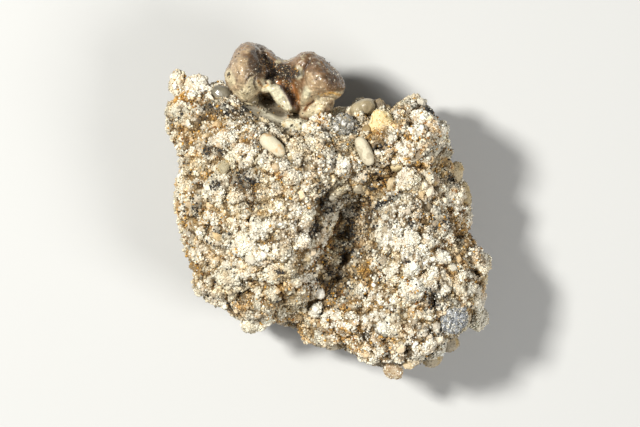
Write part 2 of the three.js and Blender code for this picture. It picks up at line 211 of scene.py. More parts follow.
def even_ways(k, count):
    """Directions spread evenly round a ball: equal steps of height, a golden turn between."""
    z = 1 - (2 * k + 1) / count
    r = np.sqrt(1 - z * z)
    return np.stack([r * np.cos(GOLDEN_TURN * k), r * np.sin(GOLDEN_TURN * k), z], -1)


def block_places(ways):
    """The block's form, pushed outwards by a sum of sine waves, each shorter and lower."""
    places = form_places(BLOCK, ways)
    k = np.arange(WAVE_COUNT)
    shrink = WAVE_STEP ** k
    phase = 2 * np.pi * places @ even_ways(k, WAVE_COUNT).T / (LONGEST_WAVE * shrink)
    push = (HIGHEST_WAVE * shrink * np.sin(phase + WAVE_TURN * k)).sum(1)
    outward = ways * (1, 1, FRONT_PUSH)
    return places + push[:, None] * outward / np.linalg.norm(outward, axis=1, keepdims=True)


def face_height(x, y):
    """Height of the block's front over a point, without the waves."""
    share = np.minimum(np.hypot(x, y) / reach_at(BLOCK, np.arctan2(y, x)), 0.97)
    rise = (1 - share ** BLOCK["fullness"]) ** (1 / BLOCK["fullness"])
    return BLOCK["level"] + rise * (front_height(BLOCK, x, y) - BLOCK["level"])


print("the left lobe stands", round(float(face_height(-9.8, 1.0)), 1), "mm high")

# %% [markdown]
# Stone is never smooth, so we need noise. Smooth noise blends random numbers kept at the
# corners of a lattice. Cell noise scatters one seed in each lattice cell and measures the
# distance to the nearest, which makes rounded bumps with sharp gaps between, as packed
# grains have. Both are worked out for all the points at once.

# %% Noise
def lattice_random(cells, seed):
    """One repeatable random number from 0 to 1 for each whole-number cell."""
    mixed = cells.astype(np.int64) @ np.array([73856093, 19349663, 83492791]) + seed * 2654435
    mixed = (mixed ^ (mixed >> 13)) * 1274126177 & 0x7FFFFFFF
    return ((mixed ^ (mixed >> 15)) * 69069 & 0xFFFFFF) / 0xFFFFFF


def smooth_noise(places, size, seed):
    """From -1 to 1: random corner numbers blended by 3t^2 - 2t^3 across each cell."""
    spot = places / size
    cell = np.floor(spot).astype(np.int64)
    t = spot - cell
    t = t * t * (3 - 2 * t)
    total = np.zeros(len(places))
    for corner in np.ndindex(2, 2, 2):
        share = np.prod(np.where(corner, t, 1 - t), axis=1)
        total += share * lattice_random(cell + corner, seed)
    return 2 * total - 1


def layered_noise(places, size, layers, seed):
    """Smooth noise at a size, half the size, and so on, each layer half as strong."""
    total = sum(smooth_noise(places, size / 2 ** k, seed + k) / 2 ** k for k in range(layers))
    return total / 1.6


def cell_noise(places, size, seed):
    """The nearest scattered seed to each point: its distance in cell sizes, how much farther
    the next one is, the way to it, and its random number."""
    spot = places / size
    cell = np.floor(spot).astype(np.int64)
    nearest, second = np.full((2, len(places)), 9.0)
    way, mark = np.zeros((len(places), 3)), np.zeros(len(places))
    for step in np.ndindex(3, 3, 3):
        near = cell + step - 1
        offset = near + np.stack([lattice_random(near, seed + k) for k in range(3)], 1) - spot
        apart = np.linalg.norm(offset, axis=1)
        closer = apart < nearest
        second = np.where(closer, nearest, np.minimum(second, apart))
        nearest = np.where(closer, apart, nearest)
        way[closer] = offset[closer]
        mark[closer] = lattice_random(near, seed + 7)[closer]
    return nearest, second - nearest, way, mark


print("noise near zero", round(float(smooth_noise(np.full((1, 3), 0.3), 1.0, 0)[0]), 3))

# %% [markdown]
# A few helpers turn arrays of points into pieces of the model. Each piece rides on the root
# body, hides the solid that it stands for, takes a material slot, and carries its colours as
# an attribute of its points, so that each grain can have its own tint.

# %% From arrays to pieces
def linear(hex_colour):
    """A colour as written on screens, in the linear values that light adds up in."""
    part = np.array([int(hex_colour[k:k + 2], 16) / 255 for k in (0, 2, 4)])
    return np.where(part <= 0.04045, part / 12.92, ((part + 0.055) / 1.055) ** 2.4)


def new_mesh(name, places, faces):
    """A mesh from an array of points in millimetres and an array of equal-sided faces."""
    mesh = bpy.data.meshes.new(name)
    mesh.vertices.add(len(places))
    mesh.vertices.foreach_set("co", to_frame(places).astype(np.float32).ravel())
    mesh.loops.add(faces.size)
    mesh.loops.foreach_set("vertex_index", faces.astype(np.int32).ravel())
    mesh.polygons.add(len(faces))
    starts = np.arange(0, faces.size, faces.shape[1], dtype=np.int32)
    mesh.polygons.foreach_set("loop_start", starts)
    mesh.update(calc_edges=True)
    return mesh


def set_numbers(mesh, name, values):
    """Keeps one number a point, such as how glossy it is."""
    kept = mesh.attributes.new(name, "FLOAT", "POINT")
    kept.data.foreach_set("value", values.astype(np.float32))


def set_tint(mesh, colours):
    """Keeps one linear colour a point."""
    rgba = np.ones((len(colours), 4), np.float32)
    rgba[:, :3] = np.clip(colours, 0, 1)
    kept = mesh.color_attributes.new("tint", "FLOAT_COLOR", "POINT")
    kept.data.foreach_set("color", rgba.ravel())


def add_piece(name, places, faces, tints, finish, node, smooth=True):
    """Makes a tinted mesh and puts it into the scene as a piece that stands for a node."""
    mesh = new_mesh(name, places, faces)
    set_tint(mesh, tints)
    mesh.polygons.foreach_set("use_smooth", np.full(len(faces), smooth))
    mesh.materials.append(finish)
    piece = bpy.data.objects.new(name, mesh)
    bpy.context.scene.collection.objects.link(piece)
    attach(piece, "root")
    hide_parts(node)
    print(f"{name}: {len(places)} points, {len(faces) * (faces.shape[1] - 2)} triangles")
    return piece


def point_normals(places, faces):
    """Outward unit normals: the cross products of the faces' diagonals, summed at each point."""
    p = places[faces]
    if faces.shape[1] == 4:
        cross = np.cross(p[:, 2] - p[:, 0], p[:, 3] - p[:, 1])
    else:
        cross = np.cross(p[:, 1] - p[:, 0], p[:, 2] - p[:, 0])
    total = np.zeros_like(places)
    for k in range(faces.shape[1]):
        np.add.at(total, faces[:, k], cross)
    return total / np.maximum(np.linalg.norm(total, axis=1, keepdims=True), 1e-12)


# %% [markdown]
# Colour is painted by place. A list of soft spots, each with a centre, a reach, a turn and a
# strength, says where a stain lies, and a few say where painted shade or painted highlight lies.
# Noise frays the edges, so that no spot looks airbrushed.
# The front is what we know from the photograph, so spots fade away towards the back.

# %% Painting by place
def spot_strength(places, spots, fray=0.5, seed=40):
    """Largest of strength * exp(-(u*u + v*v) / 2) over the spots, frayed by layered noise."""
    x, y = places[:, 0], places[:, 1]
    strength = np.zeros(len(places))
    for *oval, most in spots:
        strength = np.maximum(strength, most * np.exp(-oval_squared(x, y, oval) / 2))
    frayed = strength * (1 + fray * layered_noise(places, 1.4, 3, seed))
    return np.clip(frayed, 0, 1)


def paint(under, colour, share):
    """One colour laid over many points, as strongly as share says."""
    return under + (colour - under) * np.clip(share, 0, 1)[:, None]


def facing_us(places, level, depth):
    """0 behind a level and 1 well in front of it."""
    return np.clip((places[:, 2] - level) / depth + 0.5, 0, 1)


# Stains of the rock, and some patches of painted shade and painted highlight:
# x, y, reach along, reach across, turn, strength
OCHRE = [
    (-15.8, 12.4, 1.3, 0.9, 30, 0.9), (-16.8, 14.7, 0.6, 0.5, 80, 1.0),
    (-12.4, 9.8, 1.2, 0.5, -20, 0.8), (-8.9, 8.0, 0.9, 0.8, 0, 0.8),
    (-12.8, -1.2, 1.4, 0.9, 20, 0.6), (-4.5, 3.0, 1.6, 0.5, -50, 0.7),
    (-16.2, 0.0, 0.7, 3.0, 0, 0.6), (7.9, 8.1, 1.2, 1.0, 0, 0.9), (9.4, 5.6, 1.7, 0.8, -10, 1.0),
    (5.6, 3.6, 1.1, 0.7, 0, 0.8), (12.2, -1.1, 1.3, 0.7, -10, 1.0), (13.6, -2.8, 0.9, 1.0, 40, 0.7),
    (9.4, -8.6, 1.3, 0.3, -42, 1.0), (9.4, -10.3, 1.2, 0.9, 0, 0.5), (4.2, -7.0, 0.8, 2.2, 30, 0.6),
    (0.6, -9.6, 2.0, 1.0, -30, 0.5), (2.0, -13.2, 2.4, 0.9, -28, 0.7),
    (-5.0, -8.6, 1.6, 0.8, 0, 0.5), (-9.0, -11.0, 2.0, 0.7, 0, 0.5),
    (-1.8, -4.6, 0.7, 1.6, 10, 0.4), (-0.8, 6.4, 0.5, 0.8, 0, 0.5), (14.0, -9.6, 1.0, 1.4, 0, 0.4),
    (-14.6, -5.4, 1.0, 1.4, 0, 0.5), (-0.5, 9.9, 1.2, 0.8, 0, 1.0), (9.9, 8.4, 2.4, 2.0, 0, 0.5),
    (1.8, -13.8, 4.0, 1.5, -25, 0.45), (14.8, -1.0, 1.4, 4.5, 12, 0.5),
    (5.4, 8.6, 1.6, 1.4, 0, 0.5), (-15.6, 9.5, 1.2, 3.0, 0, 0.45),
]
# The long faint spot in the valley, at (2.4, -3.4), is painted shade; the others are grey stains.
GREY_STAINS_AND_SHADE = [
    (-12.2, 11.6, 1.9, 0.8, -15, 0.9), (-9.0, 11.0, 0.9, 0.5, 0, 0.9),
    (-16.6, 10.2, 0.5, 0.35, 0, 0.9), (-7.4, 9.8, 1.6, 0.4, -20, 0.7),
    (-9.6, 3.4, 1.6, 1.1, -10, 0.8), (-12.1, 2.9, 0.9, 0.7, 0, 0.7), (-14.6, 0.6, 0.8, 0.7, 0, 0.7),
    (-8.0, 1.0, 1.0, 0.9, 0, 0.7), (0.6, 6.4, 1.0, 0.8, 0, 0.8), (0.0, 0.2, 1.4, 1.0, -30, 0.7),
    (2.4, -3.4, 1.0, 3.4, 12, 0.6), (5.8, 0.4, 1.8, 0.9, 30, 0.7), (12.9, -11.9, 1.6, 1.3, 20, 0.9),
    (14.6, -14.0, 1.4, 1.0, 30, 0.5), (9.6, 0.6, 1.6, 0.7, -40, 0.5),
    (11.4, 6.8, 0.8, 1.4, 30, 0.5), (1.4, -9.4, 1.6, 0.8, 0, 0.5), (-10.4, -5.4, 1.2, 0.9, 0, 0.4),
    (13.4, 3.2, 0.6, 1.0, 20, 0.6), (9.6, 11.4, 1.2, 0.5, 0, 0.4), (8.3, -14.4, 1.2, 0.7, 0, 0.4),
]
# The broad faint spots in the valley and below the knob, at (2.4, -2.4), (0.7, -7.6), (4.8, 2.8)
# and (3.4, 0.2), are painted shade; the others are dark stains and specks.
DARK_STAINS_AND_SHADE = [
    (-12.0, 11.1, 1.2, 0.35, -10, 0.55), (-9.0, 11.0, 0.7, 0.3, 0, 0.5),
    (-13.3, 6.7, 0.25, 0.4, 0, 0.9), (-11.9, 6.5, 0.25, 0.35, 0, 0.9),
    (-12.1, 2.9, 0.5, 0.3, 20, 0.8), (-1.0, 1.1, 0.4, 0.55, -10, 1.0),
    (0.35, 0.4, 0.3, 0.25, 0, 0.9), (-1.5, -1.9, 0.3, 0.45, -20, 1.0),
    (2.2, -2.2, 0.5, 0.9, 0, 0.8), (1.8, -4.7, 0.5, 0.7, 0, 0.7), (0.2, -8.0, 0.5, 0.5, 0, 0.5),
    (6.1, 1.0, 1.5, 0.16, 31, 0.95), (11.3, 10.9, 0.8, 0.16, -45, 0.9),
    (12.5, 6.9, 0.22, 0.22, 0, 0.8), (11.4, -9.6, 0.35, 0.75, 0, 0.95),
    (12.9, -9.3, 0.25, 0.25, 0, 0.9), (8.3, -5.4, 0.25, 0.2, 0, 0.8),
    (9.0, -1.2, 0.16, 0.16, 0, 0.9), (6.8, -10.7, 0.25, 0.2, 0, 0.8),
    (13.4, 3.6, 0.7, 0.16, -55, 0.7), (-8.2, 3.3, 0.5, 0.4, 0, 0.6),
    (-14.6, 0.5, 0.4, 0.35, 0, 0.6), (-12.2, -2.2, 0.25, 0.2, 0, 0.8),
    (-5.4, -6.5, 0.25, 0.2, 0, 0.7), (2.4, -2.4, 1.0, 2.8, -12, 0.4),
    (0.7, -7.6, 1.3, 1.6, 0, 0.45), (11.9, -1.2, 0.7, 0.5, 0, 0.6), (-9.4, 3.5, 0.7, 0.9, 0, 0.4),
    (4.8, 2.8, 0.9, 1.6, -35, 0.3), (3.4, 0.2, 1.3, 1.6, 50, 0.3), (-0.5, 1.7, 0.5, 0.8, 0, 0.5),
    (5.5, 7.0, 0.6, 0.3, 20, 0.5), (-15.6, 5.4, 0.3, 0.2, 0, 0.6), (12.2, -12.6, 0.9, 0.5, 30, 0.3),
]
# Most of these are white stone. The spots on the bright broken face at (7.9, -0.9) and on the left
# lobe's crest at (-3.4, -1.5) are white stone made whiter as painted highlight, where those faces
# meet the main lamp.
WHITE_STAINS_AND_HIGHLIGHT = [
    (-14.5, 14.0, 1.3, 1.0, 20, 1.0), (7.9, -0.9, 1.6, 2.6, 12, 1.0),
    (9.2, -6.6, 1.5, 2.2, 10, 0.6), (-2.9, -2.1, 0.5, 1.6, 8, 0.8), (-1.9, -7.6, 0.8, 0.7, 0, 0.9),
    (-2.7, -5.1, 0.7, 0.7, 0, 0.5), (-0.4, 5.6, 1.1, 0.8, 0, 0.7), (9.8, 9.6, 1.6, 1.4, 10, 0.4),
    (12.7, -10.9, 0.9, 0.7, 30, 0.7), (-3.4, 9.6, 1.4, 0.7, 0, 0.6), (-8.8, -6.0, 2.4, 2.0, 0, 0.3),
    (-12.4, 8.6, 1.8, 1.6, 0, 0.35), (8.1, 4.3, 0.7, 0.4, 20, 0.7), (-13.0, -0.2, 1.0, 1.6, 0, 0.3),
    (12.3, 8.8, 0.5, 0.5, 0, 0.6), (-6.2, -4.0, 1.4, 1.2, 0, 0.3), (6.6, -9.0, 1.0, 1.8, 10, 0.3),
    (-3.4, -1.5, 1.5, 3.4, 8, 0.5), (10.2, -3.6, 1.6, 4.0, 12, 0.4),
    (3.0, -14.0, 3.2, 1.4, -25, 0.5), (9.5, -14.6, 3.2, 1.6, 0, 0.4),
    (-11.9, 11.0, 1.3, 0.5, -10, 0.4),
]


def rock_masks(places):
    """How ochre, grey, dark and white the rock is at each point: its placed spots in front, some
    of them painted shade in the valley and painted highlight on the bright faces, and fainter
    ones by layered noise all over."""
    front = facing_us(places, 9.0, 4.0)
    drift = layered_noise(places, 5.0, 4, 11)
    fleck = layered_noise(places, 1.6, 3, 12)
    masks = []
    for spots, gain, anywhere, most in (
            (OCHRE, 1, 1.8 * drift - 0.3, 0.6), (GREY_STAINS_AND_SHADE, 1, -1.5 * drift - 0.45, 0.6),
            (DARK_STAINS_AND_SHADE, 1.5, 2.2 * fleck - 1.5, 0.6), (WHITE_STAINS_AND_HIGHLIGHT, 1, -1.8 * fleck - 0.9, 0.5)):
        placed = np.clip(gain * spot_strength(places, spots), 0, 1) * front
        masks.append(np.maximum(placed, np.clip(anywhere, 0, most)))
    return masks


print(len(OCHRE) + len(GREY_STAINS_AND_SHADE) + len(DARK_STAINS_AND_SHADE) + len(WHITE_STAINS_AND_HIGHLIGHT), "stains to paint")

# %% [markdown]
# A finish is a small network of shader nodes. All of ours start from the same plan: the tint
# kept on the points, made uneven by noise, and a bump that is finer than the mesh. Two noises
# of different size are used, because one alone looks like plaster. The numbers that are the
# same all over go straight onto the shader.

# %% Finishes
def new_finish(name, roughness, bump, grain_mm, mottle=0.25, **fixed):
    """A procedural material: tint * mottling noise for colour, noise for roughness and bump."""
    finish = bpy.data.materials.new(name)
    finish.use_nodes = True
    nodes, links = finish.node_tree.nodes, finish.node_tree.links
    shader = nodes["Principled BSDF"]
    for socket, value in fixed.items():
        shader.inputs[socket.replace("_", " ")].default_value = value

    place = nodes.new("ShaderNodeTexCoord")
    tint = nodes.new("ShaderNodeAttribute")
    tint.attribute_name = "tint"

    def noise(size_mm, detail):
        node = nodes.new("ShaderNodeTexNoise")
        node.inputs["Scale"].default_value = 1 / (size_mm * MM)
        node.inputs["Detail"].default_value = detail
        links.new(place.outputs["Object"], node.inputs["Vector"])
        return node

    def ranged(source, low, high):
        node = nodes.new("ShaderNodeMapRange")
        limits = {"From Min": 0.3, "From Max": 0.7, "To Min": low, "To Max": high}
        for socket, value in limits.items():
            node.inputs[socket].default_value = value
        links.new(source, node.inputs["Value"])
        return node.outputs["Result"]

    fine, broad = noise(grain_mm, 3), noise(grain_mm * 5, 4)
    shade = nodes.new("ShaderNodeVectorMath")
    shade.operation = "SCALE"
    links.new(tint.outputs["Color"], shade.inputs[0])
    links.new(ranged(fine.outputs["Fac"], 1 - mottle, 1 + mottle * 0.7), shade.inputs["Scale"])
    links.new(shade.outputs["Vector"], shader.inputs["Base Color"])
    links.new(ranged(broad.outputs["Fac"], roughness[0], roughness[1]), shader.inputs["Roughness"])

    relief = nodes.new("ShaderNodeBump")
    relief.inputs["Strength"].default_value = bump
    relief.inputs["Distance"].default_value = grain_mm * MM * 0.5
    links.new(fine.outputs["Fac"], relief.inputs["Height"])
    links.new(relief.outputs["Normal"], shader.inputs["Normal"])
    print(f"finish {name}: bump grain {grain_mm} mm")
    return finish


rock_finish = new_finish("gritty_rock", (0.75, 0.95), 0.6, 0.16)
grain_finish = new_finish("sand_grains", (0.55, 0.9), 0.5, 0.12, 0.22)

# %% [markdown]
# The rock's skin comes first. On the block's form it adds broken lumps of three sizes, which
# are cell noise turned into tilted caps, a crumbly noise with sharp creases, and pores. Its
# points crowd towards the front, where the detail is. The ledge that holds the tooth is
# smooth, with two prints that lost pieces have left in it.

# %% Skin of the rock
LEDGE = [
    (-5.9, 11.4, 2.0, 1.1, -35, 1.0), (-3.3, 10.6, 1.3, 0.6, -5, 1.0),
    (-8.2, 11.4, 0.9, 0.6, -35, 1.0), (-6.3, 10.5, 1.8, 0.6, -38, 1.0),
    (-5.3, 10.4, 1.0, 0.6, -20, 1.0),
]
PRINTS = [(-6.15, 11.5, 1.7, 0.62, -36, 0.75), (-3.2, 10.65, 0.9, 0.38, -3, 0.6)]
PITS = [
    (-4.1, 4.0, 0.6, 0.75, 20, 1.2), (-1.0, 1.1, 0.5, 0.6, -10, 1.0),
    (-1.5, -1.9, 0.4, 0.5, -20, 0.8), (-8.5, -0.9, 0.6, 0.45, 0, 0.8),
    (-12.0, 4.4, 0.4, 0.3, 0, 0.6), (6.1, 1.0, 1.5, 0.2, 31, 0.9), (-6.0, -8.0, 0.9, 0.3, -35, 0.7),
    (5.5, 7.0, 0.7, 0.4, 20, 0.9), (5.7, 3.6, 0.7, 0.4, 0, 0.7), (12.2, -1.1, 1.0, 0.5, -10, 0.9),
    (11.4, -9.6, 0.4, 0.9, 0, 1.0), (16.0, -6.7, 0.9, 0.4, -25, 1.1),
    (8.6, -15.2, 0.6, 0.9, 10, 0.9), (4.0, -13.5, 0.5, 0.9, 20, 0.8),
    (-8.5, -10.8, 0.6, 0.5, 0, 0.7), (4.0, -9.2, 0.5, 0.4, 0, 0.7), (7.6, 7.9, 0.35, 0.4, 0, 0.6),
    (13.4, 3.6, 0.7, 0.2, -55, 0.6), (-13.9, 12.9, 0.4, 0.7, 0, 0.8),
    (9.5, 4.9, 1.3, 0.4, -10, 0.6), (-9.8, 3.0, 0.6, 0.4, 0, 0.6), (1.0, -6.9, 0.6, 0.9, 0, 0.6),
    # Moats round the oval and long pebbles; the brown painted in them further on is painted shade.
    (-6.1, 7.15, 2.05, 1.2, -43, 0.5), (3.85, 6.6, 1.95, 1.0, -66, 0.5),
]
CREST = [(-8.25, 12.4), (-7.4, 11.2), (-5.9, 10.1), (-4.8, 9.9)]
SKIN_CELLS = 128
FRONT_CROWDING = 0.35
LUMP_LAYERS = [(3.4, 3, 0.6), (1.5, 5, 0.24), (0.7, 9, 0.12)]  # size, seed, height
RELIEF_AVERAGE, CRUST_DEPTH = 0.62, 0.35


def hollow_depth(places, hollows):
    """Depth of the deepest hollow at each point, seen from above: inside each oval, its full
    depth times sqrt(1 - u*u - v*v)."""
    x, y = places[:, 0], places[:, 1]
    depth = np.zeros(len(places))
    for *oval, most in hollows:
        depth = np.maximum(depth, most * np.sqrt(np.maximum(1 - oval_squared(x, y, oval), 0)))
    return depth


def line_distance(places, line):
    """Distance, seen from above, from each point to the nearest stretch of a line."""
    nearest = np.full(len(places), 9.0)
    for p, q in zip(np.array(line[:-1]), np.array(line[1:])):
        step = q - p
        share = np.clip((places[:, :2] - p) @ step / (step @ step), 0, 1)
        apart = np.linalg.norm(places[:, :2] - p - share[:, None] * step, axis=1)
        nearest = np.minimum(nearest, apart)
    return nearest


def crumbled(places, size, layers, seed):
    """Crumbly swellings with sharp creases: the size of smooth noise, without its sign, at a
    size, half the size and so on, each layer half as strong. About 0.5 on average."""
    return sum(
        np.abs(smooth_noise(places, size / 2 ** k, seed + k)) / 2 ** k for k in range(layers))


def hollowness(places, faces, normals, rounds):
    """How far each point lies below its surroundings: its neighbours' average, taken over and
    over so that it reaches farther each round, less the point itself, along the normal."""
    start, end = faces.T.ravel(), np.roll(faces, -1, 1).T.ravel()
    count = np.bincount(start, minlength=len(places))
    around = places
    for _ in range(rounds):
        sums = [np.bincount(start, around[end, axis], len(places)) for axis in range(3)]
        around = np.stack(sums, 1) / count[:, None]
    below = ((around - places) * normals).sum(1)
    return below / below.std()


def broken_lumps(places, size, seed):
    """Lumps packed edge to edge: a cap, a random tilt and a random height for each cell, all
    times 1 - exp(-(room to the next cell / 0.16)^2), which cuts the gaps between them. The
    second result is the cell's random number."""
    apart, room, way, mark = cell_noise(places, size, seed)
    lean = np.stack([np.cos(61 * mark), np.sin(61 * mark), np.cos(29 * mark)], 1)
    cap = np.sqrt(np.maximum(1 - (apart / 0.95) ** 2, 0))
    edge = 1 - np.exp(-((room / 0.16) ** 2))
    return edge * (0.35 + 0.35 * cap + 0.4 * mark + 0.45 * (way * lean).sum(1)), mark


ways, skin_faces = ball_grid(SKIN_CELLS)
ways = ways + (0, 0, FRONT_CROWDING)
ways /= np.linalg.norm(ways, axis=1, keepdims=True)
skin = block_places(ways)
normals = point_normals(skin, skin_faces)
smooth_share = np.clip(1.8 * spot_strength(skin, LEDGE, 0.2) - 0.5, 0, 1)
smooth_share *= facing_us(skin, 8.5, 1.0)
bent = skin + 0.7 * np.stack([layered_noise(skin, 1.9, 2, 90 + k) for k in range(3)], 1)
lump_layers = [broken_lumps(bent, size, seed) for size, seed, _ in LUMP_LAYERS]
pores = np.clip(2.4 * layered_noise(skin, 1.0, 2, 14) - 0.7, 0, 1)
crumbs = crumbled(bent, 1.8, 4, 31)
relief = sum(height * layer[0] for (_, _, height), layer in zip(LUMP_LAYERS, lump_layers))
relief = relief + 0.38 * crumbs - 0.8 * pores
relief += 0.16 * layered_noise(skin, 0.5, 2, 8)
push = (1 - 0.9 * smooth_share) * (relief - RELIEF_AVERAGE) - CRUST_DEPTH
skin = skin + normals * push[:, None]
front = facing_us(skin, 8.5, 1.0)
skin[:, 2] -= front * (hollow_depth(skin, PRINTS) + hollow_depth(skin, PITS))
skin[:, 2] = np.maximum(skin[:, 2], 0.0)
normals = point_normals(skin, skin_faces)
hollow = 0.35 * hollowness(skin, skin_faces, normals, rounds=40)
hollow += 0.65 * hollowness(skin, skin_faces, normals, rounds=6)
print("skin spans", (skin.max(0) - skin.min(0)).round(1), "mm")

# %% [markdown]
# A pale crust coats the lumps, and in the gaps between them the colour turns golden and then
# brown: partly brown sand and rust, partly painted shade, while the tops are whiter as painted
# highlight. Each lump has its own tint, and broad stains lie over the whole. The skin keeps
# its colour on its points, and the grains will borrow it, each a little lighter or darker.

# %% Colour of the skin
CRUST, PALE, CHALK = linear("dcd2b2"), linear("e9e0c8"), linear("f4efdf")
SAND, OCHRE_CLAY, RUST = linear("b39861"), linear("cc9a44"), linear("90602a")
SLATE, SOOT, SMOKE = linear("8b8778"), linear("302d2a"), linear("aca78f")
UMBER, LEDGE_GREY, CREST_HIGHLIGHT = linear("54452f"), linear("8f8670"), linear("c9c3ad")


def rock_colour(places, gap, mark):
    """Crust, tinted lump by lump, whiter where gap is low, golden and then brown where it is
    high, with the stains over it. The browning in the gaps is partly sand and rust and partly
    painted shade, and the whiter tops are partly painted highlight."""
    ochre, grey, dark, white = rock_masks(places)
    mottle = layered_noise(places, 0.8, 3, 17)
    patch = layered_noise(places, 2.4, 3, 19)
    colour = paint(np.tile(CRUST, (len(places), 1)), PALE, 1.2 * mark - 0.3 + 0.8 * patch)
    colour = paint(colour, SMOKE, 0.4 * (mark < 0.14) + 0.75 * grey)
    chalky = (0.5 + 0.6 * white + 0.8 * patch) * np.clip(1.15 - 1.9 * gap, 0, 1) + 0.3 * white
    colour = paint(colour, CHALK, chalky)
    golden = np.clip(0.1 + 1.2 * gap + 1.4 * mottle - 0.5 * patch, 0, 1)
    colour = paint(colour, OCHRE_CLAY, (0.3 + 1.1 * ochre) * golden)
    colour = paint(colour, SAND, 1.6 * gap - 0.35)
    colour = paint(colour, UMBER, 2.5 * gap - 1.1)
    rusty = np.clip(1.3 * gap + 1.1 * mottle - 0.5, 0, 1)
    colour = paint(colour, RUST, (0.3 + 0.6 * ochre) * rusty)
    return paint(colour, SOOT, 0.8 * dark)


def cement_and_shade(colour, share):
    """The skin that shows between the grains: the crust's colour, darkened as brown binder and as
    painted shade between the grains, but less where the crust is white."""
    share = share * np.clip(1.4 - 1.3 * colour.mean(1), 0.3, 0.9)
    return paint(colour, colour * 0.13 + OCHRE_CLAY * 0.12 + UMBER * 0.25, share)


# gap grows with how far a point lies below its surroundings, so what it darkens is partly painted
# shade in the hollows.
gap = np.clip(0.37 + 0.32 * hollow + 0.7 * pores, 0, 1)
colour = rock_colour(skin, gap * (1 - smooth_share), lump_layers[1][1])
# Painted shade: dark brown in the sharp creases of the crumbly relief.
colour = paint(colour, UMBER * 0.5, (1 - smooth_share) * np.clip(1.25 - 3.4 * crumbs, 0, 0.92))
clouded = np.clip(0.85 + 0.6 * layered_noise(skin, 0.7, 3, 18), 0, 1)
colour = paint(colour, LEDGE_GREY, smooth_share * clouded)
# Painted highlight: a pale line along the ledge's crest.
on_crest = np.exp(-(line_distance(skin, CREST) / 0.18) ** 2)
colour = paint(colour, CREST_HIGHLIGHT, smooth_share * on_crest)
# Brown in the pits and the two prints, deeper where they are deeper: painted shade in the prints
# and in the moats round the oval and long pebbles.
colour = paint(colour, UMBER * 0.8, np.clip(1.5 * hollow_depth(skin, PITS), 0, 0.9) * front)
colour = paint(colour, UMBER, np.clip(2.4 * hollow_depth(skin, PRINTS), 0, 0.75) * front)
print("mean skin colour", colour.mean(0).round(2))

binder_and_shade_tints = cement_and_shade(colour, 1 - smooth_share)
add_piece("rock_skin", skin, skin_faces, binder_and_shade_tints, rock_finish, "matrix")

# %% [markdown]
# Grains are small gems: an eight-sided crystal whose sides may be cut again, with each corner
# nudged so that no two look alike. Thousands of copies are worked out as one array: the gem's
# points are scaled, turned by a random rotation and carried to a place on the skin.

# %% A gem and many copies of it
CORNER_NUDGE = 0.28


def gem(cuts):
    """Points and triangles of an octahedron with each side cut into cuts * cuts triangles,
    blown up to a ball."""
    points, faces = [], []
    for signs in np.ndindex(2, 2, 2):
        sx, sy, sz = 1 - 2 * np.array(signs)
        number = {}
        for i in range(cuts + 1):
            for j in range(cuts + 1 - i):
                number[i, j] = len(points)
                points.append((sx * i, sy * j, sz * (cuts - i - j)))
        for i, j in number:
            right, up, across = (i + 1, j), (i, j + 1), (i + 1, j + 1)
            for corners in (((i, j), right, up), (right, across, up)):
                if all(corner in number for corner in corners):
                    corners = [number[corner] for corner in corners]
                    faces.append(corners if sx * sy * sz > 0 else corners[::-1])
    points = np.array(points, float)
    _, first, where = np.unique(points, axis=0, return_index=True, return_inverse=True)
    points = points[first]
    return points / np.linalg.norm(points, axis=1, keepdims=True), where.ravel()[np.array(faces)]


def random_turns(count):
    """Rotation matrices made from random unit quaternions."""
    q = RNG.normal(size=(count, 4))
    w, x, y, z = (q / np.linalg.norm(q, axis=1, keepdims=True)).T
    return np.array([
        [1 - 2 * (y * y + z * z), 2 * (x * y - z * w), 2 * (x * z + y * w)],
        [2 * (x * y + z * w), 1 - 2 * (x * x + z * z), 2 * (y * z - x * w)],
        [2 * (x * z - y * w), 2 * (y * z + x * w), 1 - 2 * (x * x + y * y)],
    ]).transpose(2, 0, 1)


def many_gems(cuts, centres, sizes):
    """All copies at once: turn * (gem * size * nudge) + centre, kept above the table. The
    last result is how many points each copy has."""
    points, faces = gem(cuts)
    count = len(centres)
    turns = random_turns(count)
    nudged = points[None] * (1 + CORNER_NUDGE * (RNG.random((count, len(points), 1)) - 0.5))
    places = np.einsum("nij,nvj->nvi", turns, nudged * sizes[:, None, :]) + centres[:, None]
    places[..., 2] = np.maximum(places[..., 2], 0.0)
    all_faces = faces[None] + (len(points) * np.arange(count))[:, None, None]
    return places.reshape(-1, 3), all_faces.reshape(-1, 3), len(points)


def places_on(points, faces, count, weight):
    """Random places on a skin, as likely in equal areas, times a weight kept on its points."""
    p = points[faces]
    area = np.linalg.norm(np.cross(p[:, 2] - p[:, 0], p[:, 3] - p[:, 1]), axis=1)
    chance = area * weight[faces].mean(1)
    pick = RNG.choice(len(faces), count, p=chance / chance.sum())
    a, b = RNG.random((2, count, 1))
    q = p[pick]
    spot = (q[:, 0] * (1 - a) + q[:, 1] * a) * (1 - b) + (q[:, 3] * (1 - a) + q[:, 2] * a) * b
    return spot, pick


print("a twice-cut gem has", len(gem(2)[1]), "sides")

# %% [markdown]
# The tooth's own numbers come before the grains, because no grain may sit inside the tooth.
# It is two lobes in front, the wall behind them, the stained floor of the groove, the smooth
# root blade, a small pillar and the root stumps. The first two reach highest.

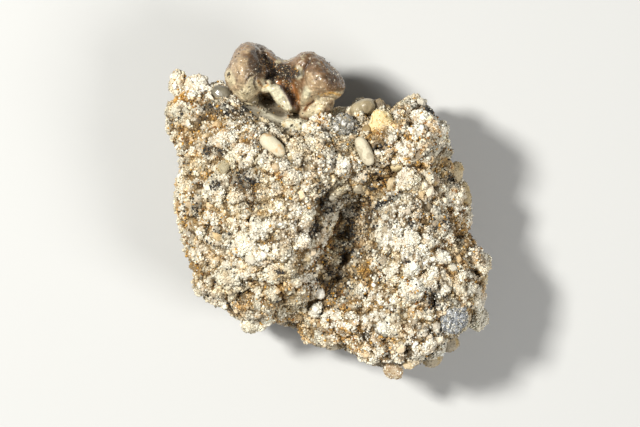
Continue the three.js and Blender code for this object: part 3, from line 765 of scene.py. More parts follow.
# %% The tooth's form
TOOTH = dict(
    left_lobe=dict(
        centre=(-9.02, 15.18), level=12.6, front=15.2, back=9.2, fullness=2.4,
        outline=[
            (-8.8, 18.54), (-8.03, 18.37), (-7.48, 17.6), (-7.15, 16.5), (-6.93, 15.18),
            (-7.26, 14.08), (-7.7, 13.09), (-8.47, 12.32), (-9.24, 11.99), (-10.01, 12.54),
            (-10.78, 13.42), (-11.33, 14.3), (-11.44, 14.96), (-11.0, 16.06), (-10.56, 17.05),
            (-10.01, 17.93), (-9.46, 18.37),
        ],
        relief=[(-9.5, 15.2, 2.4, 1.2, 80, 1.4)],
    ),
    right_lobe=dict(
        centre=(-1.43, 14.74), level=12.2, front=14.8, back=8.6, fullness=2.4,
        outline=[
            (-1.98, 17.55), (-0.88, 16.96), (0.39, 15.92), (1.21, 15.07), (1.65, 14.19),
            (1.65, 13.42), (1.32, 12.76), (0.77, 12.43), (-0.11, 12.65), (-1.21, 12.54),
            (-2.2, 11.99), (-3.08, 11.44), (-3.52, 11.88), (-3.63, 12.98), (-3.96, 14.08),
            (-4.29, 15.18), (-4.18, 16.06), (-3.52, 17.05), (-2.86, 17.43),
        ],
        relief=[(-0.5, 14.4, 1.9, 1.4, -40, 1.3), (-2.9, 15.2, 1.6, 0.5, 65, -0.9)],
    ),
    back_wall=dict(
        centre=(-5.28, 15.62), level=10.4, front=12.3, back=7.4, fullness=2.5,
        outline=[
            (-8.36, 18.32), (-7.37, 18.26), (-6.49, 17.75), (-5.72, 17.05), (-4.77, 16.65),
            (-4.07, 16.89), (-3.41, 17.16), (-2.31, 17.32), (-1.1, 16.5), (-0.4, 15.4),
            (-1.2, 14.2), (-3.19, 13.7), (-4.95, 13.5), (-6.93, 13.5), (-8.9, 13.8),
            (-9.9, 15.2), (-9.5, 17.2),
        ],
        relief=[
            (-6.4, 17.0, 1.9, 0.5, -38, 0.9), (-3.6, 16.2, 1.2, 0.5, 20, 0.7),
            (-5.2, 15.0, 1.5, 0.7, -20, -0.8),
        ],
    ),
    groove_floor=dict(
        centre=(-4.4, 13.4), level=11.0, front=12.6, back=8.4, fullness=2.5,
        outline=[
            (-7.2, 14.9), (-4.84, 15.18), (-3.0, 14.74), (-2.5, 13.42), (-2.6, 11.88),
            (-3.2, 10.9), (-4.2, 11.0), (-4.9, 12.0), (-5.6, 13.0), (-6.9, 13.7),
        ],
        relief=[(-3.8, 12.8, 1.8, 0.4, -65, -0.5)],
    ),
    root_blade=dict(
        centre=(-5.2, 12.5), level=13.1, front=13.9, back=11.4, fullness=4.5,
        outline=[
            (-6.6, 13.6), (-6.1, 14.0), (-5.45, 13.85), (-4.7, 12.9), (-4.13, 12.0),
            (-4.0, 11.3), (-4.25, 10.95), (-4.75, 11.05), (-5.5, 11.75), (-6.3, 12.8),
        ],
        relief=[],
    ),
    pillar=dict(
        centre=(-7.1, 13.85), level=12.6, front=13.75, back=11.4, fullness=3.0,
        outline=[
            (-7.1, 14.6), (-6.35, 14.3), (-6.25, 13.5), (-6.8, 13.05), (-7.7, 13.2), (-7.95, 14.1),
        ],
        relief=[],
    ),
    right_root=dict(
        centre=(-1.32, 11.9), level=11.2, front=13.0, back=8.2, fullness=2.3,
        outline=[
            (-2.53, 13.2), (-1.21, 13.5), (0.11, 13.2), (0.6, 12.43), (0.49, 11.55),
            (0.11, 10.5), (-0.77, 9.9), (-2.09, 9.8), (-3.19, 10.3), (-3.3, 11.9),
        ],
        relief=[],
    ),
    left_root=dict(
        centre=(-8.9, 12.2), level=9.8, front=10.6, back=8.6, fullness=2.3,
        outline=[
            (-9.9, 13.8), (-8.0, 13.8), (-7.7, 12.2), (-8.1, 10.8), (-8.8, 10.2), (-9.6, 10.8),
            (-10.1, 12.2),
        ],
        relief=[],
    ),
)


def in_tooth(places, grow):
    """True for points inside any piece of the tooth, grown by a margin."""
    return np.any([inside(form, places, grow) for form in TOOTH.values()], axis=0)


print(round(1.65 + 11.44, 1), "mm from side to side of the crown")

# %% [markdown]
# The clasts that stand out of the rock as pieces of their own stand for solids of the same
# names, at their places, and two of them sit a little deeper or higher than those do. Each
# gets its own finish further on, and the block's grains keep off them.

# %% The clasts' places
CLASTS = [  # node, x, y, half-axes, turn, sink into the face or height, tint, gloss
    ("oval_pebble", -6.1, 7.15, (1.72, 0.92, 0.95), -43, 0.05, None, "c3baa0", 0.5),
    ("smooth_grey_pebble", -11.8, 12.9, (1.15, 0.95, 0.95), -20, 0.0, None, "746d5c", 0.35),
    ("long_pale_pebble", 3.85, 6.6, (1.65, 0.75, 0.85), -66, -0.1, None, "c6bca2", 0.6),
    ("yellow_clast", 5.55, 9.6, (1.5, 1.25, 1.2), 80, 0.2, None, "dfcb98", 0.6),
    ("speckled_dark_clast", 1.9, 9.4, (1.45, 1.15, 1.1), -30, 0.2, None, "767267", 0.35),
    ("glassy_top_clast", 3.7, 11.3, (1.5, 0.95, 1.1), 25, None, 11.8, "a99b7c", 0.3),
    ("blue_grey_clast", 13.6, -11.7, (1.5, 1.35, 1.2), 30, 0.3, None, "8b8e92", 0.3),
    ("tip_pebble", 7.15, -17.3, (1.05, 1.0, 1.0), 0, None, 8.6, "b5a184", 0.35),
]
CLAST_FULLNESS = 2.3


def clast_centre(x, y, size, sink, height):
    """Middle of a clast: a stated height, or the face's height less its share of sinking."""
    z = height if sink is None else float(face_height(x, y)) - sink * size[2]
    return np.array([x, y, z])


def turn_about_z(degrees):
    """Rotation matrix about the upright axis."""
    c, s = math.cos(math.radians(degrees)), math.sin(math.radians(degrees))
    return np.array([[c, -s, 0], [s, c, 0], [0, 0, 1]])


def near_clast(places, margin):
    """True for points inside any clast's ball-like form, grown by a margin."""
    hit = np.zeros(len(places), bool)
    for _, x, y, size, turn, sink, height, _, _ in CLASTS:
        local = (places - clast_centre(x, y, size, sink, height)) @ turn_about_z(turn)
        hit |= (np.abs(local / (np.array(size) + margin)) ** CLAST_FULLNESS).sum(1) < 1
    return hit


# %% [markdown]
# Some lumps are too big to be grains and belong to the block itself: those that make its
# outline, those spread evenly over it and those that stand out on its face. Most are crusted
# like the skin, and grains will cover them too. The others are small clasts, bare and smooth.

# %% Lumps of the block
LUMP_COUNT, SMALLEST_LUMP, LUMP_SPREAD, LOWEST_LUMP = 72, 0.7, 0.9, 1.5
CRUSTED_LUMP, SMALL_CLAST, BIG_CLAST = (9, 0.34), (12, 0.28), (40, 0.36)  # cells, roughness
BIG_CLAST_LENGTH = 1.2
EDGE_LUMPS = [  # x, y, height, along, across, turn, tint of a bare one
    (-16.7, 14.2, 10.4, 1.3, 0.75, 80, None), (-14.5, 13.9, 10.2, 1.15, 1.0, 20, None),
    (5.3, 11.6, 11.0, 0.9, 0.8, 30, "8f816b"), (11.3, -16.0, 9.6, 1.15, 1.0, 40, "b3a68d"),
    (13.3, -14.4, 9.8, 1.1, 0.95, 30, "aba08b"), (14.0, 4.3, 9.6, 1.1, 0.7, 80, "c6b592"),
    (14.8, 1.9, 9.8, 1.3, 0.8, 100, "b6a684"), (16.4, -11.9, 8.8, 1.2, 0.9, 60, None),
    (-8.2, -12.2, 9.2, 1.3, 0.9, 10, None),
]
FACE_LUMPS = [  # x, y, along, across, turn, tint of a bare one
    (-14.2, 13.4, 1.32, 0.9, -10, None), (-15.9, 12.4, 1.0, 0.8, 40, None),
    (7.6, 9.2, 0.9, 0.7, 0, None), (8.6, 6.8, 0.8, 0.7, -30, None),
    (-3.6, 9.4, 1.55, 0.75, -3, "d0c9b0"), (-0.75, 9.7, 1.25, 1.05, 0, None),
    (-1.8, 7.5, 0.8, 0.6, 0, None), (-1.95, 9.0, 0.85, 0.75, 0, None),
    (12.2, 9.1, 0.8, 0.65, 0, None), (10.6, 6.1, 0.8, 0.6, 10, None),
    (6.0, 7.9, 0.8, 0.6, 40, None), (9.9, 10.2, 1.0, 0.8, 0, None), (11.6, 7.4, 0.9, 0.8, 60, None),
    (-11.2, 8.0, 0.9, 0.8, 0, None), (-9.5, 6.4, 1.1, 0.9, 20, None),
    (-12.6, 2.4, 1.0, 0.9, 0, None), (-9.2, -3.6, 1.3, 1.0, 10, None),
    (-6.0, -6.6, 1.1, 0.9, 50, None), (-10.8, -7.0, 1.2, 0.9, 0, None),
    (-2.6, -0.6, 1.0, 0.7, 70, None), (-3.0, -3.2, 0.9, 0.8, 0, None),
    (8.6, -3.0, 1.2, 0.9, 20, None), (12.0, -1.4, 1.1, 0.9, 60, None),
    (9.0, -8.4, 1.3, 1.1, 0, None), (6.6, -12.6, 1.1, 0.9, 10, None),
    (3.4, -8.6, 1.0, 0.8, 30, None), (-0.6, 5.2, 1.1, 0.7, 50, None),
    (1.4, 5.0, 0.9, 0.7, 70, None), (5.94, 11.3, 0.9, 0.5, -10, "8b7a63"),
    (7.4, 5.2, 0.77, 0.7, 0, "d6c49a"), (8.0, 4.3, 0.66, 0.4, 20, "e6dfcd"),
    (11.1, 3.7, 1.0, 0.6, -35, "c9b499"), (6.8, 3.0, 0.77, 0.5, 80, "ccb894"),
    (5.8, 6.2, 0.5, 0.45, 0, "e6dfce"), (-11.3, 4.9, 0.8, 0.7, 60, "a09578"),
    (-1.1, -8.9, 0.6, 0.6, 0, "eee9dc"), (8.7, -16.6, 0.6, 0.6, 0, "cdbc9c"),
]


def stone_places(centre, size, turn_matrix, cells, rough):
    """A stone: a ball stretched to its half-axes, its skin moved by broken lumps when it is
    rough, and by gentle layered noise and a fine grain when it is not."""
    ways, faces = ball_grid(cells)
    swell = (np.abs(ways) ** 2.5).sum(1) ** (-1 / 2.5)
    body = ways * np.array(size) * swell[:, None]
    spot = body + np.array(centre) * 3.7
    lumpy = broken_lumps(spot, 0.9, 21)[0] - 0.5
    gentle = 0.9 * layered_noise(spot, 1.3, 5, 27)
    body *= 1 + (rough * (0.5 * lumpy + 0.7 * gentle if rough > 0.3 else gentle))[:, None]
    return body @ turn_matrix.T + centre, faces


def block_lumps():
    """Place, size, turn and bare tint of every lump that belongs to the block."""
    for x, y, z, along, across, turn, tint in EDGE_LUMPS:
        yield np.array([x, y, z]), (along, across, across), turn_about_z(turn), tint
    for x, y, along, across, turn, tint in FACE_LUMPS:
        place = np.array([x, y, float(face_height(x, y)) - 0.3 - 0.4 * across])
        yield place, (along, across, across), turn_about_z(turn), tint
    k = np.arange(LUMP_COUNT)
    places = block_places(even_ways(k, LUMP_COUNT))
    radii = SMALLEST_LUMP + LUMP_SPREAD * (k * 0.618034 % 1) ** 2
    for place, radius, turn in zip(places, radii, random_turns(LUMP_COUNT)):
        near_tooth = place[1] > 9.5 and -12 < place[0] < 2.5
        crowded = near_clast(place[None], radius)[0]
        if place[2] > LOWEST_LUMP + radius and not near_tooth and not crowded:
            inward = place - (0, 0, BLOCK["level"])
            centre = place - (0.35 + 0.55 * radius) * inward / np.linalg.norm(inward)
            far = math.hypot(centre[0], centre[1])
            edge = float(reach_at(BLOCK, math.atan2(centre[1], centre[0])))
            centre[:2] *= min(1, (edge + 0.1 - radius) / far)
            yield centre, radius * np.array([1.05, 0.9, 0.8]), turn, None


def joined(parts):
    """Several sets of places and faces as one, and the number of the part of each point."""
    start = np.cumsum([0] + [len(places) for places, _ in parts[:-1]])
    places = np.concatenate([p for p, _ in parts])
    faces = np.concatenate([f + first for (_, f), first in zip(parts, start)])
    part = np.repeat(np.arange(len(parts)), [len(p) for p, _ in parts])
    places[:, 2] = np.maximum(places[:, 2], 0.0)
    return places, faces, part


all_lumps = list(block_lumps())
lumps, lump_faces, lump_part = joined([
    stone_places(*form, *CRUSTED_LUMP) for *form, tint in all_lumps if tint is None])
lump_mark = lattice_random(np.stack([lump_part] * 3, 1), 4)
lump_colour = rock_colour(lumps, np.zeros(len(lumps)), lump_mark)
binder_and_shade_tints = cement_and_shade(lump_colour, np.full(len(lumps), 0.8))
add_piece("crusted_lumps", lumps, lump_faces, binder_and_shade_tints, rock_finish, "matrix")

LUMP_PITS = [
    (-4.05, 9.42, 0.21, 0.14, 35, 0.3), (-3.1, 9.66, 0.12, 0.18, 20, 0.28),
    (-2.4, 9.36, 0.11, 0.1, 0, 0.2), (-3.5, 9.26, 0.09, 0.11, 0, 0.15),
    (-2.75, 9.72, 0.1, 0.07, 40, 0.12),
]
places, faces, part = joined([
    stone_places(*form, *(BIG_CLAST if max(form[1]) > BIG_CLAST_LENGTH else SMALL_CLAST))
    for *form, tint in all_lumps if tint])
tints = np.array([linear(tint) for *_, tint in all_lumps if tint])[part]
tints = paint(tints, SAND, 1.4 * layered_noise(places, 0.5, 2, 33))
tints = paint(tints, UMBER, 1.6 * layered_noise(places, 0.9, 3, 34) - 0.35)
pits = hollow_depth(places, LUMP_PITS) * facing_us(places, 10.0, 1.0)
places[:, 2] -= pits
tints = paint(tints, UMBER * 0.6, np.clip(4 * pits, 0, 0.8))
add_piece("small_clasts", places, faces, tints, grain_finish, "matrix")
bare_stones = places, faces, tints

# %% [markdown]
# Three sieves of grains cover the rock. Fine ones make the crust, middling ones break its
# outline, and coarse ones are the grit that a finger would feel. A grain borrows the tint of
# the skin under it. A few are black, white, rust or slate instead, more often in such stains.

# %% Grains
SIEVES = [  # name, cuts, count, least and greatest radius, stand, share of odd grains, smooth
    ("coarse_grains", 2, 400, 0.34, 0.65, -0.4, 0.1, False),
    ("middle_grains", 2, 3600, 0.16, 0.34, -0.25, 0.5, True),
    *[("fine_grains_" + letter, 1, 23000, 0.11, 0.24, 0.1, 1.0, True) for letter in "abcd"],
]
CLAST_GRAINS, CLOT_SIZE, BRIGHTEST_GRAIN = 1500, 0.75, 0.88


def clots(places):
    """Small clots of grains, from cell noise: how high a point stands in its clot, how near it
    is to the seam, exp(-(room to the next clot / 0.2)^2), and the clot's random number."""
    apart, room, _, mark = cell_noise(places, CLOT_SIZE, 61)
    seam = np.exp(-((room / 0.2) ** 2))
    return 0.12 * (1 - apart) - 0.06 * seam, seam, mark


def grain_tints(centres, under, oddness):
    """The tint under each grain, lighter or darker by chance and clot by clot, golden and browner
    in the seams between the clots, partly stain and partly painted shade, with some odd grains."""
    ochre, grey, dark, white = rock_masks(centres)
    _, seam, mark = clots(centres)
    chance = np.stack([
        0.01 + 0.3 * white, 0.008 + 0.08 * ochre, 0.005 + 0.06 * ochre, 0.01 + 0.12 * grey,
        0.004 + 0.08 * grey + 0.6 * dark,
    ], 1) * oddness
    pick = (RNG.random((len(centres), 1)) > np.cumsum(chance, 1)).sum(1)
    odd = np.array([CHALK, OCHRE_CLAY, RUST, SLATE, SOOT, CRUST])[pick]
    drift = layered_noise(centres, 0.9, 2, 63)
    own = under * (0.86 + 0.22 * RNG.random((len(centres), 1))) * (0.76 + 0.46 * mark[:, None])
    seam *= np.clip(1.6 - 1.5 * under.mean(1), 0.2, 1)
    golden = seam * np.clip(0.5 + 2.0 * drift, 0, 1)
    own = paint(own, OCHRE_CLAY * 0.85, (0.36 + 0.5 * ochre) * golden)
    # Painted shade: umber in the seams between the clots.
    own = paint(own, UMBER * 0.6, 0.85 * seam * np.clip(0.35 - 2.0 * drift, 0, 1))
    odd = odd * (0.7 + 0.3 * RNG.random((len(centres), 1)))
    return np.where(pick[:, None] < 5, odd, np.minimum(own, BRIGHTEST_GRAIN))


def scatter_grains(name, cuts, count, small, large, stand, oddness, smooth):
    """Grains on the crust, their radii spread from small to large with few large ones, each
    standing out of it by a share of its radius."""
    spot, pick = places_on(crust, crust_faces, count, crust_weight)
    radius = small + (large - small) * RNG.random(count) ** 2.2
    corner = crust_faces[pick, 0]
    centres = spot + crust_normals[corner] * (stand * radius + clots(spot)[0])[:, None]
    keep = (centres[:, 2] > 0.15) & ~in_tooth(centres, 0.1) & ~near_clast(centres, 0.05)
    keep &= ~inside(BLOCK, centres, -1.4)
    centres, radius, corner = centres[keep], radius[keep], corner[keep]
    sizes = radius[:, None] * (0.6 + 0.7 * RNG.random((len(centres), 3)))
    places, faces, each = many_gems(cuts, centres, sizes)
    tints = np.repeat(grain_tints(centres, crust_colour[corner], oddness), each, 0)
    add_piece(name, places, faces, tints, grain_finish, "matrix", smooth)


stones, stone_faces, stone_tints = bare_stones
spot, pick = places_on(stones, stone_faces, CLAST_GRAINS, np.ones(len(stones)))
sizes = 0.05 + 0.09 * RNG.random((len(spot), 3)) ** 1.5
places, faces, each = many_gems(1, spot, sizes)
tints = stone_tints[stone_faces[pick, 0]] * (0.6 + 0.8 * RNG.random((len(spot), 1)))
tints = np.repeat(tints, each, 0)
add_piece("clast_crust", places, faces, tints, grain_finish, "matrix", smooth=False)

crust = np.concatenate([skin, lumps])
crust_faces = np.concatenate([skin_faces, lump_faces + len(skin)])
crust_normals = np.concatenate([normals, point_normals(lumps, lump_faces)])
crust_colour = np.concatenate([colour, lump_colour])
open_rock = np.concatenate([1 - 0.97 * smooth_share, np.ones(len(lumps))])
crust_weight = open_rock * (0.25 + 0.75 * facing_us(crust, 5.0, 6.0))
for name, cuts, count, *rest in SIEVES:
    scatter_grains(name, cuts, int(count * (1)), *rest)

# %% [markdown]
# Now the tooth. Its eight closed forms overlap, and a real tooth is one piece, so they are
# melted together: a voxel remesh makes one skin round them all, and a smoothing softens the
# seams as worn enamel is soft. Its fine wrinkles, cracks and slits are pressed in after that.

# %% One skin for the tooth
VOXEL_MM = 0.085
TOOTH_CELLS, SOFTENING_ROUNDS = 40, 5


def melted(parts, voxel_mm, rounds):
    """One closed skin round overlapping forms: voxel remesh, then a few rounds of smoothing."""
    places, faces, _ = joined(parts)
    rough = bpy.data.objects.new("rough", new_mesh("rough", places, faces))
    bpy.context.scene.collection.objects.link(rough)
    remesh = rough.modifiers.new("remesh", "REMESH")
    remesh.mode = "VOXEL"
    remesh.voxel_size = voxel_mm * MM
    soften = rough.modifiers.new("soften", "SMOOTH")
    soften.factor, soften.iterations = 0.5, rounds
    finished = rough.evaluated_get(bpy.context.evaluated_depsgraph_get()).to_mesh()
    places = np.empty(len(finished.vertices) * 3, np.float32)
    finished.vertices.foreach_get("co", places)
    corners = np.empty(len(finished.loops), np.int32)
    finished.loops.foreach_get("vertex_index", corners)
    bpy.data.objects.remove(rough)
    return places.reshape(-1, 3).astype(float) / MM + ORIGIN_SHIFT, corners.reshape(-1, 4)


tooth_ways, tooth_faces = ball_grid(TOOTH_CELLS)
tooth, tooth_quads = melted(
    [(form_places(form, tooth_ways), tooth_faces) for form in TOOTH.values()],
    VOXEL_MM, SOFTENING_ROUNDS)
print("tooth skin", len(tooth), "points")

# %% [markdown]
# Cracks, slits and creases are grooves along short lines. The depth falls off with distance
# from the line, and the same distance darkens the colour, because dirt settles in them.

# %% Cracks and pits of the tooth
CRACKS = [  # points of the line, half-width, depth, darkness
    ([(-8.91, 14.36), (-8.61, 14.76), (-8.22, 14.9)], 0.1, 0.24, 0.95),  # slit in the left lobe
    ([(-8.02, 14.66), (-8.12, 13.97), (-7.83, 13.28)], 0.11, 0.3, 1.0),  # slit beside it
    ([(-7.9, 18.3), (-7.75, 17.2), (-7.3, 16.2)], 0.14, 0.3, 0.7),  # crack behind the left tip
    ([(-2.1, 16.6), (-2.5, 16.0), (-2.85, 15.4), (-2.9, 14.9)], 0.13, 0.25, 0.85),  # right lobe
    ([(-1.74, 12.1), (-2.3, 11.7), (-2.7, 11.1)], 0.1, 0.2, 0.6),  # crease by the stump
    ([(-5.1, 14.1), (-4.5, 13.2), (-4.0, 11.9)], 0.16, 0.25, 0.5),  # bottom of the groove
    ([(-0.9, 16.3), (-0.2, 15.0), (0.6, 13.9)], 0.05, 0.06, 0.25),  # fine line in the enamel
    ([(-10.3, 16.6), (-9.9, 15.2), (-10.2, 13.9)], 0.05, 0.06, 0.25),
]
TOOTH_PITS = [  # x, y, along, across, turn, depth
    (-7.5, 14.05, 0.22, 0.13, -60, 0.45), (-6.85, 14.12, 0.16, 0.11, 40, 0.35),
    (-9.5, 13.3, 0.18, 0.2, 0, 0.2), (-9.95, 13.6, 0.13, 0.18, 0, 0.15),
    (-8.9, 12.9, 0.12, 0.1, 0, 0.12), (-8.7, 13.6, 0.18, 0.12, 40, 0.15),
]
WORN_SPOTS = [(-9.2, 13.0, 1.4, 0.9, 10, 1.0), (-1.8, 11.2, 1.6, 0.8, 0, 0.8)]

normals_tooth = point_normals(tooth, tooth_quads)
front = facing_us(tooth, 11.6, 1.2) * np.clip(normals_tooth[:, 2] * 2 + 0.6, 0, 1)
wear = spot_strength(tooth, WORN_SPOTS, 0.3)
press = 0.05 * layered_noise(tooth, 1.1, 4, 50) + 0.13 * (crumbled(tooth, 0.8, 3, 54) - 0.45)
press += 0.045 * layered_noise(tooth, 0.33, 2, 55)
press += 0.12 * wear * layered_noise(tooth, 0.45, 2, 52)
groove = np.zeros(len(tooth))
for line, half_width, depth, darkness in CRACKS:
    near = np.exp(-(line_distance(tooth, line) / half_width) ** 2) * front
    press -= depth * near
    groove = np.maximum(groove, darkness * near)
press -= front * hollow_depth(tooth, TOOTH_PITS)
tooth = tooth + normals_tooth * press[:, None]
print("deepest mark", round(float(-press.min()), 2), "mm")

# %% [markdown]
# Fossil enamel is mauve brown and glossy where it is thick, and cream or yellow where it thins
# towards the neck and on the roots. Sediment has stained the groove orange and filled the
# hollow between the lobes with black and brown. A root is dull, so gloss is painted too.

# %% Colours of the tooth
ENAMEL, ENAMEL_DARK, ENAMEL_PALE = linear("775b40"), linear("463322"), linear("ac9474")
IVORY, BONE, ORANGE, GOLD = linear("cdbf9b"), linear("c3bc9e"), linear("945a20"), linear("c8963c")
STEEL, FOSSA, DEEP_ORANGE = linear("83878a"), linear("2f251c"), linear("4a2a10")
STREAK, CHIP, RIM_GLOW = linear("3c2410"), linear("e4d9c0"), linear("b48c5e")
DOT, DIRT = linear("3a2a1c"), linear("3a2413")
STAINED_SPOTS = [(-4.3, 13.1, 0.6, 1.6, 22, 1.0), (-4.8, 14.2, 0.9, 0.5, 0, 0.9)]
STREAK_WAY = np.array([0.38, -0.92, 0.0])
TOOTH_PAINT = [  # colour, spots
    (ENAMEL_PALE, [
        (-9.6, 15.6, 0.9, 1.2, 0, 0.8), (-1.5, 13.8, 1.0, 1.2, 20, 0.6),
        (-9.9, 16.6, 0.4, 1.0, -20, 0.6), (-7.0, 17.0, 0.9, 0.3, -35, 0.6),
        (-9.0, 17.6, 0.5, 0.4, 0, 0.5),
    ]),
    (ENAMEL_DARK, [
        (0.6, 14.8, 1.3, 0.8, -45, 1.0), (-8.2, 16.4, 0.5, 1.2, -10, 0.8),
        (-1.4, 16.2, 1.2, 0.5, -30, 0.5), (-8.9, 15.3, 0.5, 0.4, 0, 0.4),
    ]),
    (IVORY, [
        (-9.2, 12.9, 1.2, 0.8, 5, 1.0), (-10.8, 14.5, 0.35, 1.1, 25, 0.9),
        (-8.4, 13.6, 0.4, 0.9, 0, 0.8), (-3.36, 15.15, 0.42, 0.5, 10, 1.0),
        (0.2, 12.5, 1.3, 0.35, 12, 0.9), (-2.4, 12.6, 0.5, 0.8, 0, 0.5),
        (-1.1, 11.6, 1.6, 1.0, 0, 1.0), (-7.1, 13.8, 0.7, 0.55, 0, 1.0),
        (-5.5, 16.5, 0.4, 0.25, 30, 0.8), (-4.6, 16.7, 0.7, 0.2, 20, 0.6),
    ]),
    (ENAMEL_PALE, [(-10.1, 13.6, 0.4, 0.3, 0, 0.8), (-9.4, 13.9, 0.5, 0.3, 30, 0.5)]),
    (BONE, [
        (-5.3, 12.45, 1.9, 0.75, -53, 1.0), (-2.4, 13.0, 0.4, 0.6, 20, 0.6),
        (-3.3, 15.0, 0.25, 0.3, 0, 0.8),
    ]),
    (ORANGE, [
        (-4.3, 13.4, 0.55, 1.4, 22, 1.0), (-4.7, 14.3, 0.8, 0.4, 0, 0.8),
        (-3.7, 12.6, 0.3, 1.3, 10, 1.0),
    ]),
    (FOSSA, [
        (-6.9, 16.5, 1.1, 0.45, -45, 1.0), (-5.0, 15.4, 1.4, 0.6, -15, 1.0),
        (-7.6, 15.7, 0.4, 0.9, 0, 0.8), (-6.1, 14.9, 1.0, 0.4, 0, 0.9),
        (-4.3, 14.5, 0.4, 0.5, 0, 0.8),
    ]),
]
TOOTH_LINES = [  # colour, points of the line, half-width, strength
    (GOLD, [(-0.95, 12.75), (0.3, 13.0), (1.5, 12.7)], 0.13, 0.9),  # rim above the stump
    (ORANGE, [(-1.74, 12.1), (-2.3, 11.7), (-2.7, 11.1)], 0.2, 0.8),
    (STEEL, [(-5.3, 13.75), (-4.6, 12.75), (-4.1, 11.7)], 0.15, 0.9),  # rim of the blade
    (GOLD, [(-7.75, 14.3), (-7.6, 13.8), (-7.1, 13.6), (-6.6, 13.9)], 0.09, 0.7),
    (GOLD, [(-3.75, 15.6), (-3.5, 15.4)], 0.12, 0.8),
    (GOLD, [(-5.1, 14.3), (-4.9, 14.0)], 0.14, 0.8),
    (DEEP_ORANGE, [(-4.5, 13.5), (-4.1, 12.5), (-3.95, 11.7)], 0.22, 0.9),
    (ORANGE, [(-7.65, 14.25), (-7.4, 13.85)], 0.14, 0.7),
    (ORANGE, [(-6.95, 14.25), (-6.7, 14.0)], 0.12, 0.7),
]
colour = np.tile(ENAMEL, (len(tooth), 1))
cloud = layered_noise(tooth, 2.0, 4, 60)
colour = paint(colour, ENAMEL_DARK, np.clip(1.1 * cloud, 0, 0.7))
colour = paint(colour, ENAMEL_PALE, np.clip(-1.4 * cloud, 0, 0.6))
colour = paint(colour, IVORY, np.clip(2.4 * layered_noise(tooth, 0.55, 3, 63) - 0.85, 0, 0.75))
colour = paint(colour, ENAMEL_DARK, np.clip(0.75 - 3.2 * crumbled(tooth, 0.8, 3, 54), 0, 0.6))
neck = np.clip((13.4 - tooth[:, 1]) / 1.4, 0, 1) * (1 - front)
colour = paint(colour, IVORY, neck)
dull = neck.copy()
for stain, spots in TOOTH_PAINT:
    share = np.clip(2.6 * spot_strength(tooth, spots, 1.0, 62) - 0.6, 0, 0.9) * front
    colour = paint(colour, stain, share)
    if stain is not ENAMEL_PALE and stain is not ENAMEL_DARK:
        dull = np.maximum(dull, 0.8 * share)
for stain, line, half_width, most in TOOTH_LINES:
    near = np.exp(-(line_distance(tooth, line) / half_width) ** 2) * front
    colour = paint(colour, stain, most * near * (1 + 0.6 * layered_noise(tooth, 0.4, 2, 64)))
# Painted highlight: a warm light tint on the steep edges of the lobes, where thin enamel lets light
# through.
rim = np.clip(0.6 - normals_tooth[:, 2], 0, 1) * facing_us(tooth, 12.0, 2.0)
colour = paint(colour, RIM_GLOW, 0.5 * rim)
stretched = tooth - 0.75 * (tooth @ STREAK_WAY)[:, None] * STREAK_WAY
streak = np.clip(2.6 * layered_noise(stretched, 0.4, 3, 68) + 0.2, 0, 0.85)
stained = spot_strength(tooth, STAINED_SPOTS, 0.3) * front
colour = paint(colour, STREAK, streak * stained)
chips = np.clip(5 * layered_noise(tooth, 0.3, 2, 67) - 2.5, 0, 0.75) * front
colour = paint(colour, CHIP, chips)
dots = np.clip(5 * layered_noise(tooth, 0.32, 2, 66) - 3.1, 0, 1) * (tooth[:, 1] < 14.6)
colour = paint(colour, DOT, 0.8 * dots * front)
colour *= 1 + 0.55 * layered_noise(tooth, 0.35, 2, 65)[:, None]
pits = np.clip(hollow_depth(tooth, TOOTH_PITS) * 5, 0, 1) * front
colour = paint(colour, DIRT, np.clip(groove + 0.8 * pits, 0, 0.95))
print("mean tooth colour", colour.mean(0).round(2))


def tooth_finish():
    """Enamel: the tint with fine streaks, glossy with a clear coat except where it is dull."""
    finish = new_finish(
        "fossil_enamel", (0.1, 0.34), 1.0, 0.24, 0.24, Coat_Weight=0.5, Coat_Roughness=0.08)
    nodes, links = finish.node_tree.nodes, finish.node_tree.links
    shader = nodes["Principled BSDF"]
    dullness = nodes.new("ShaderNodeAttribute")
    dullness.attribute_name = "dull"
    mixed = nodes.new("ShaderNodeMix")
    links.new(dullness.outputs["Fac"], mixed.inputs["Factor"])
    links.new(shader.inputs["Roughness"].links[0].from_socket, mixed.inputs["A"])
    mixed.inputs["B"].default_value = 0.6
    links.new(mixed.outputs["Result"], shader.inputs["Roughness"])
    return finish


piece = add_piece("tooth_skin", tooth, tooth_quads, colour, tooth_finish(), "tooth")
set_numbers(piece.data, "dull", dull)

# %% [markdown]
# The sediment in the tooth's hollow is a packing of tiny black, brown and ochre grains, and a
# few stray pale ones cling to the enamel; these stand partly for mineral specks and partly
# for painted glints. They are the same gems as before, only finer.

# %% Sediment in the tooth
SEDIMENT = [
    (-6.7, 16.4, 0.8, 0.35, -40, 1.0), (-5.0, 15.4, 1.1, 0.5, -12, 1.0),
    (-6.2, 14.9, 0.6, 0.4, 0, 0.8), (-4.3, 13.3, 0.35, 1.2, 22, 0.75),
    (-7.7, 15.8, 0.3, 0.6, 0, 0.7), (-10.9, 14.9, 0.2, 0.4, 20, 0.5),
]
SEDIMENT_GRAINS, FLECKS_AND_GLINTS = 3600, 500
SEDIMENT_TINTS = np.array([SOOT] + [linear(t) for t in ("4b3a2a", "8a5f2a", "a58e66", "d8cdb4")])
GROOVE_SHARES, HOLLOW_SHARES = [0.12, 0.4, 0.4, 0.05, 0.03], [0.5, 0.3, 0.1, 0.06, 0.04]

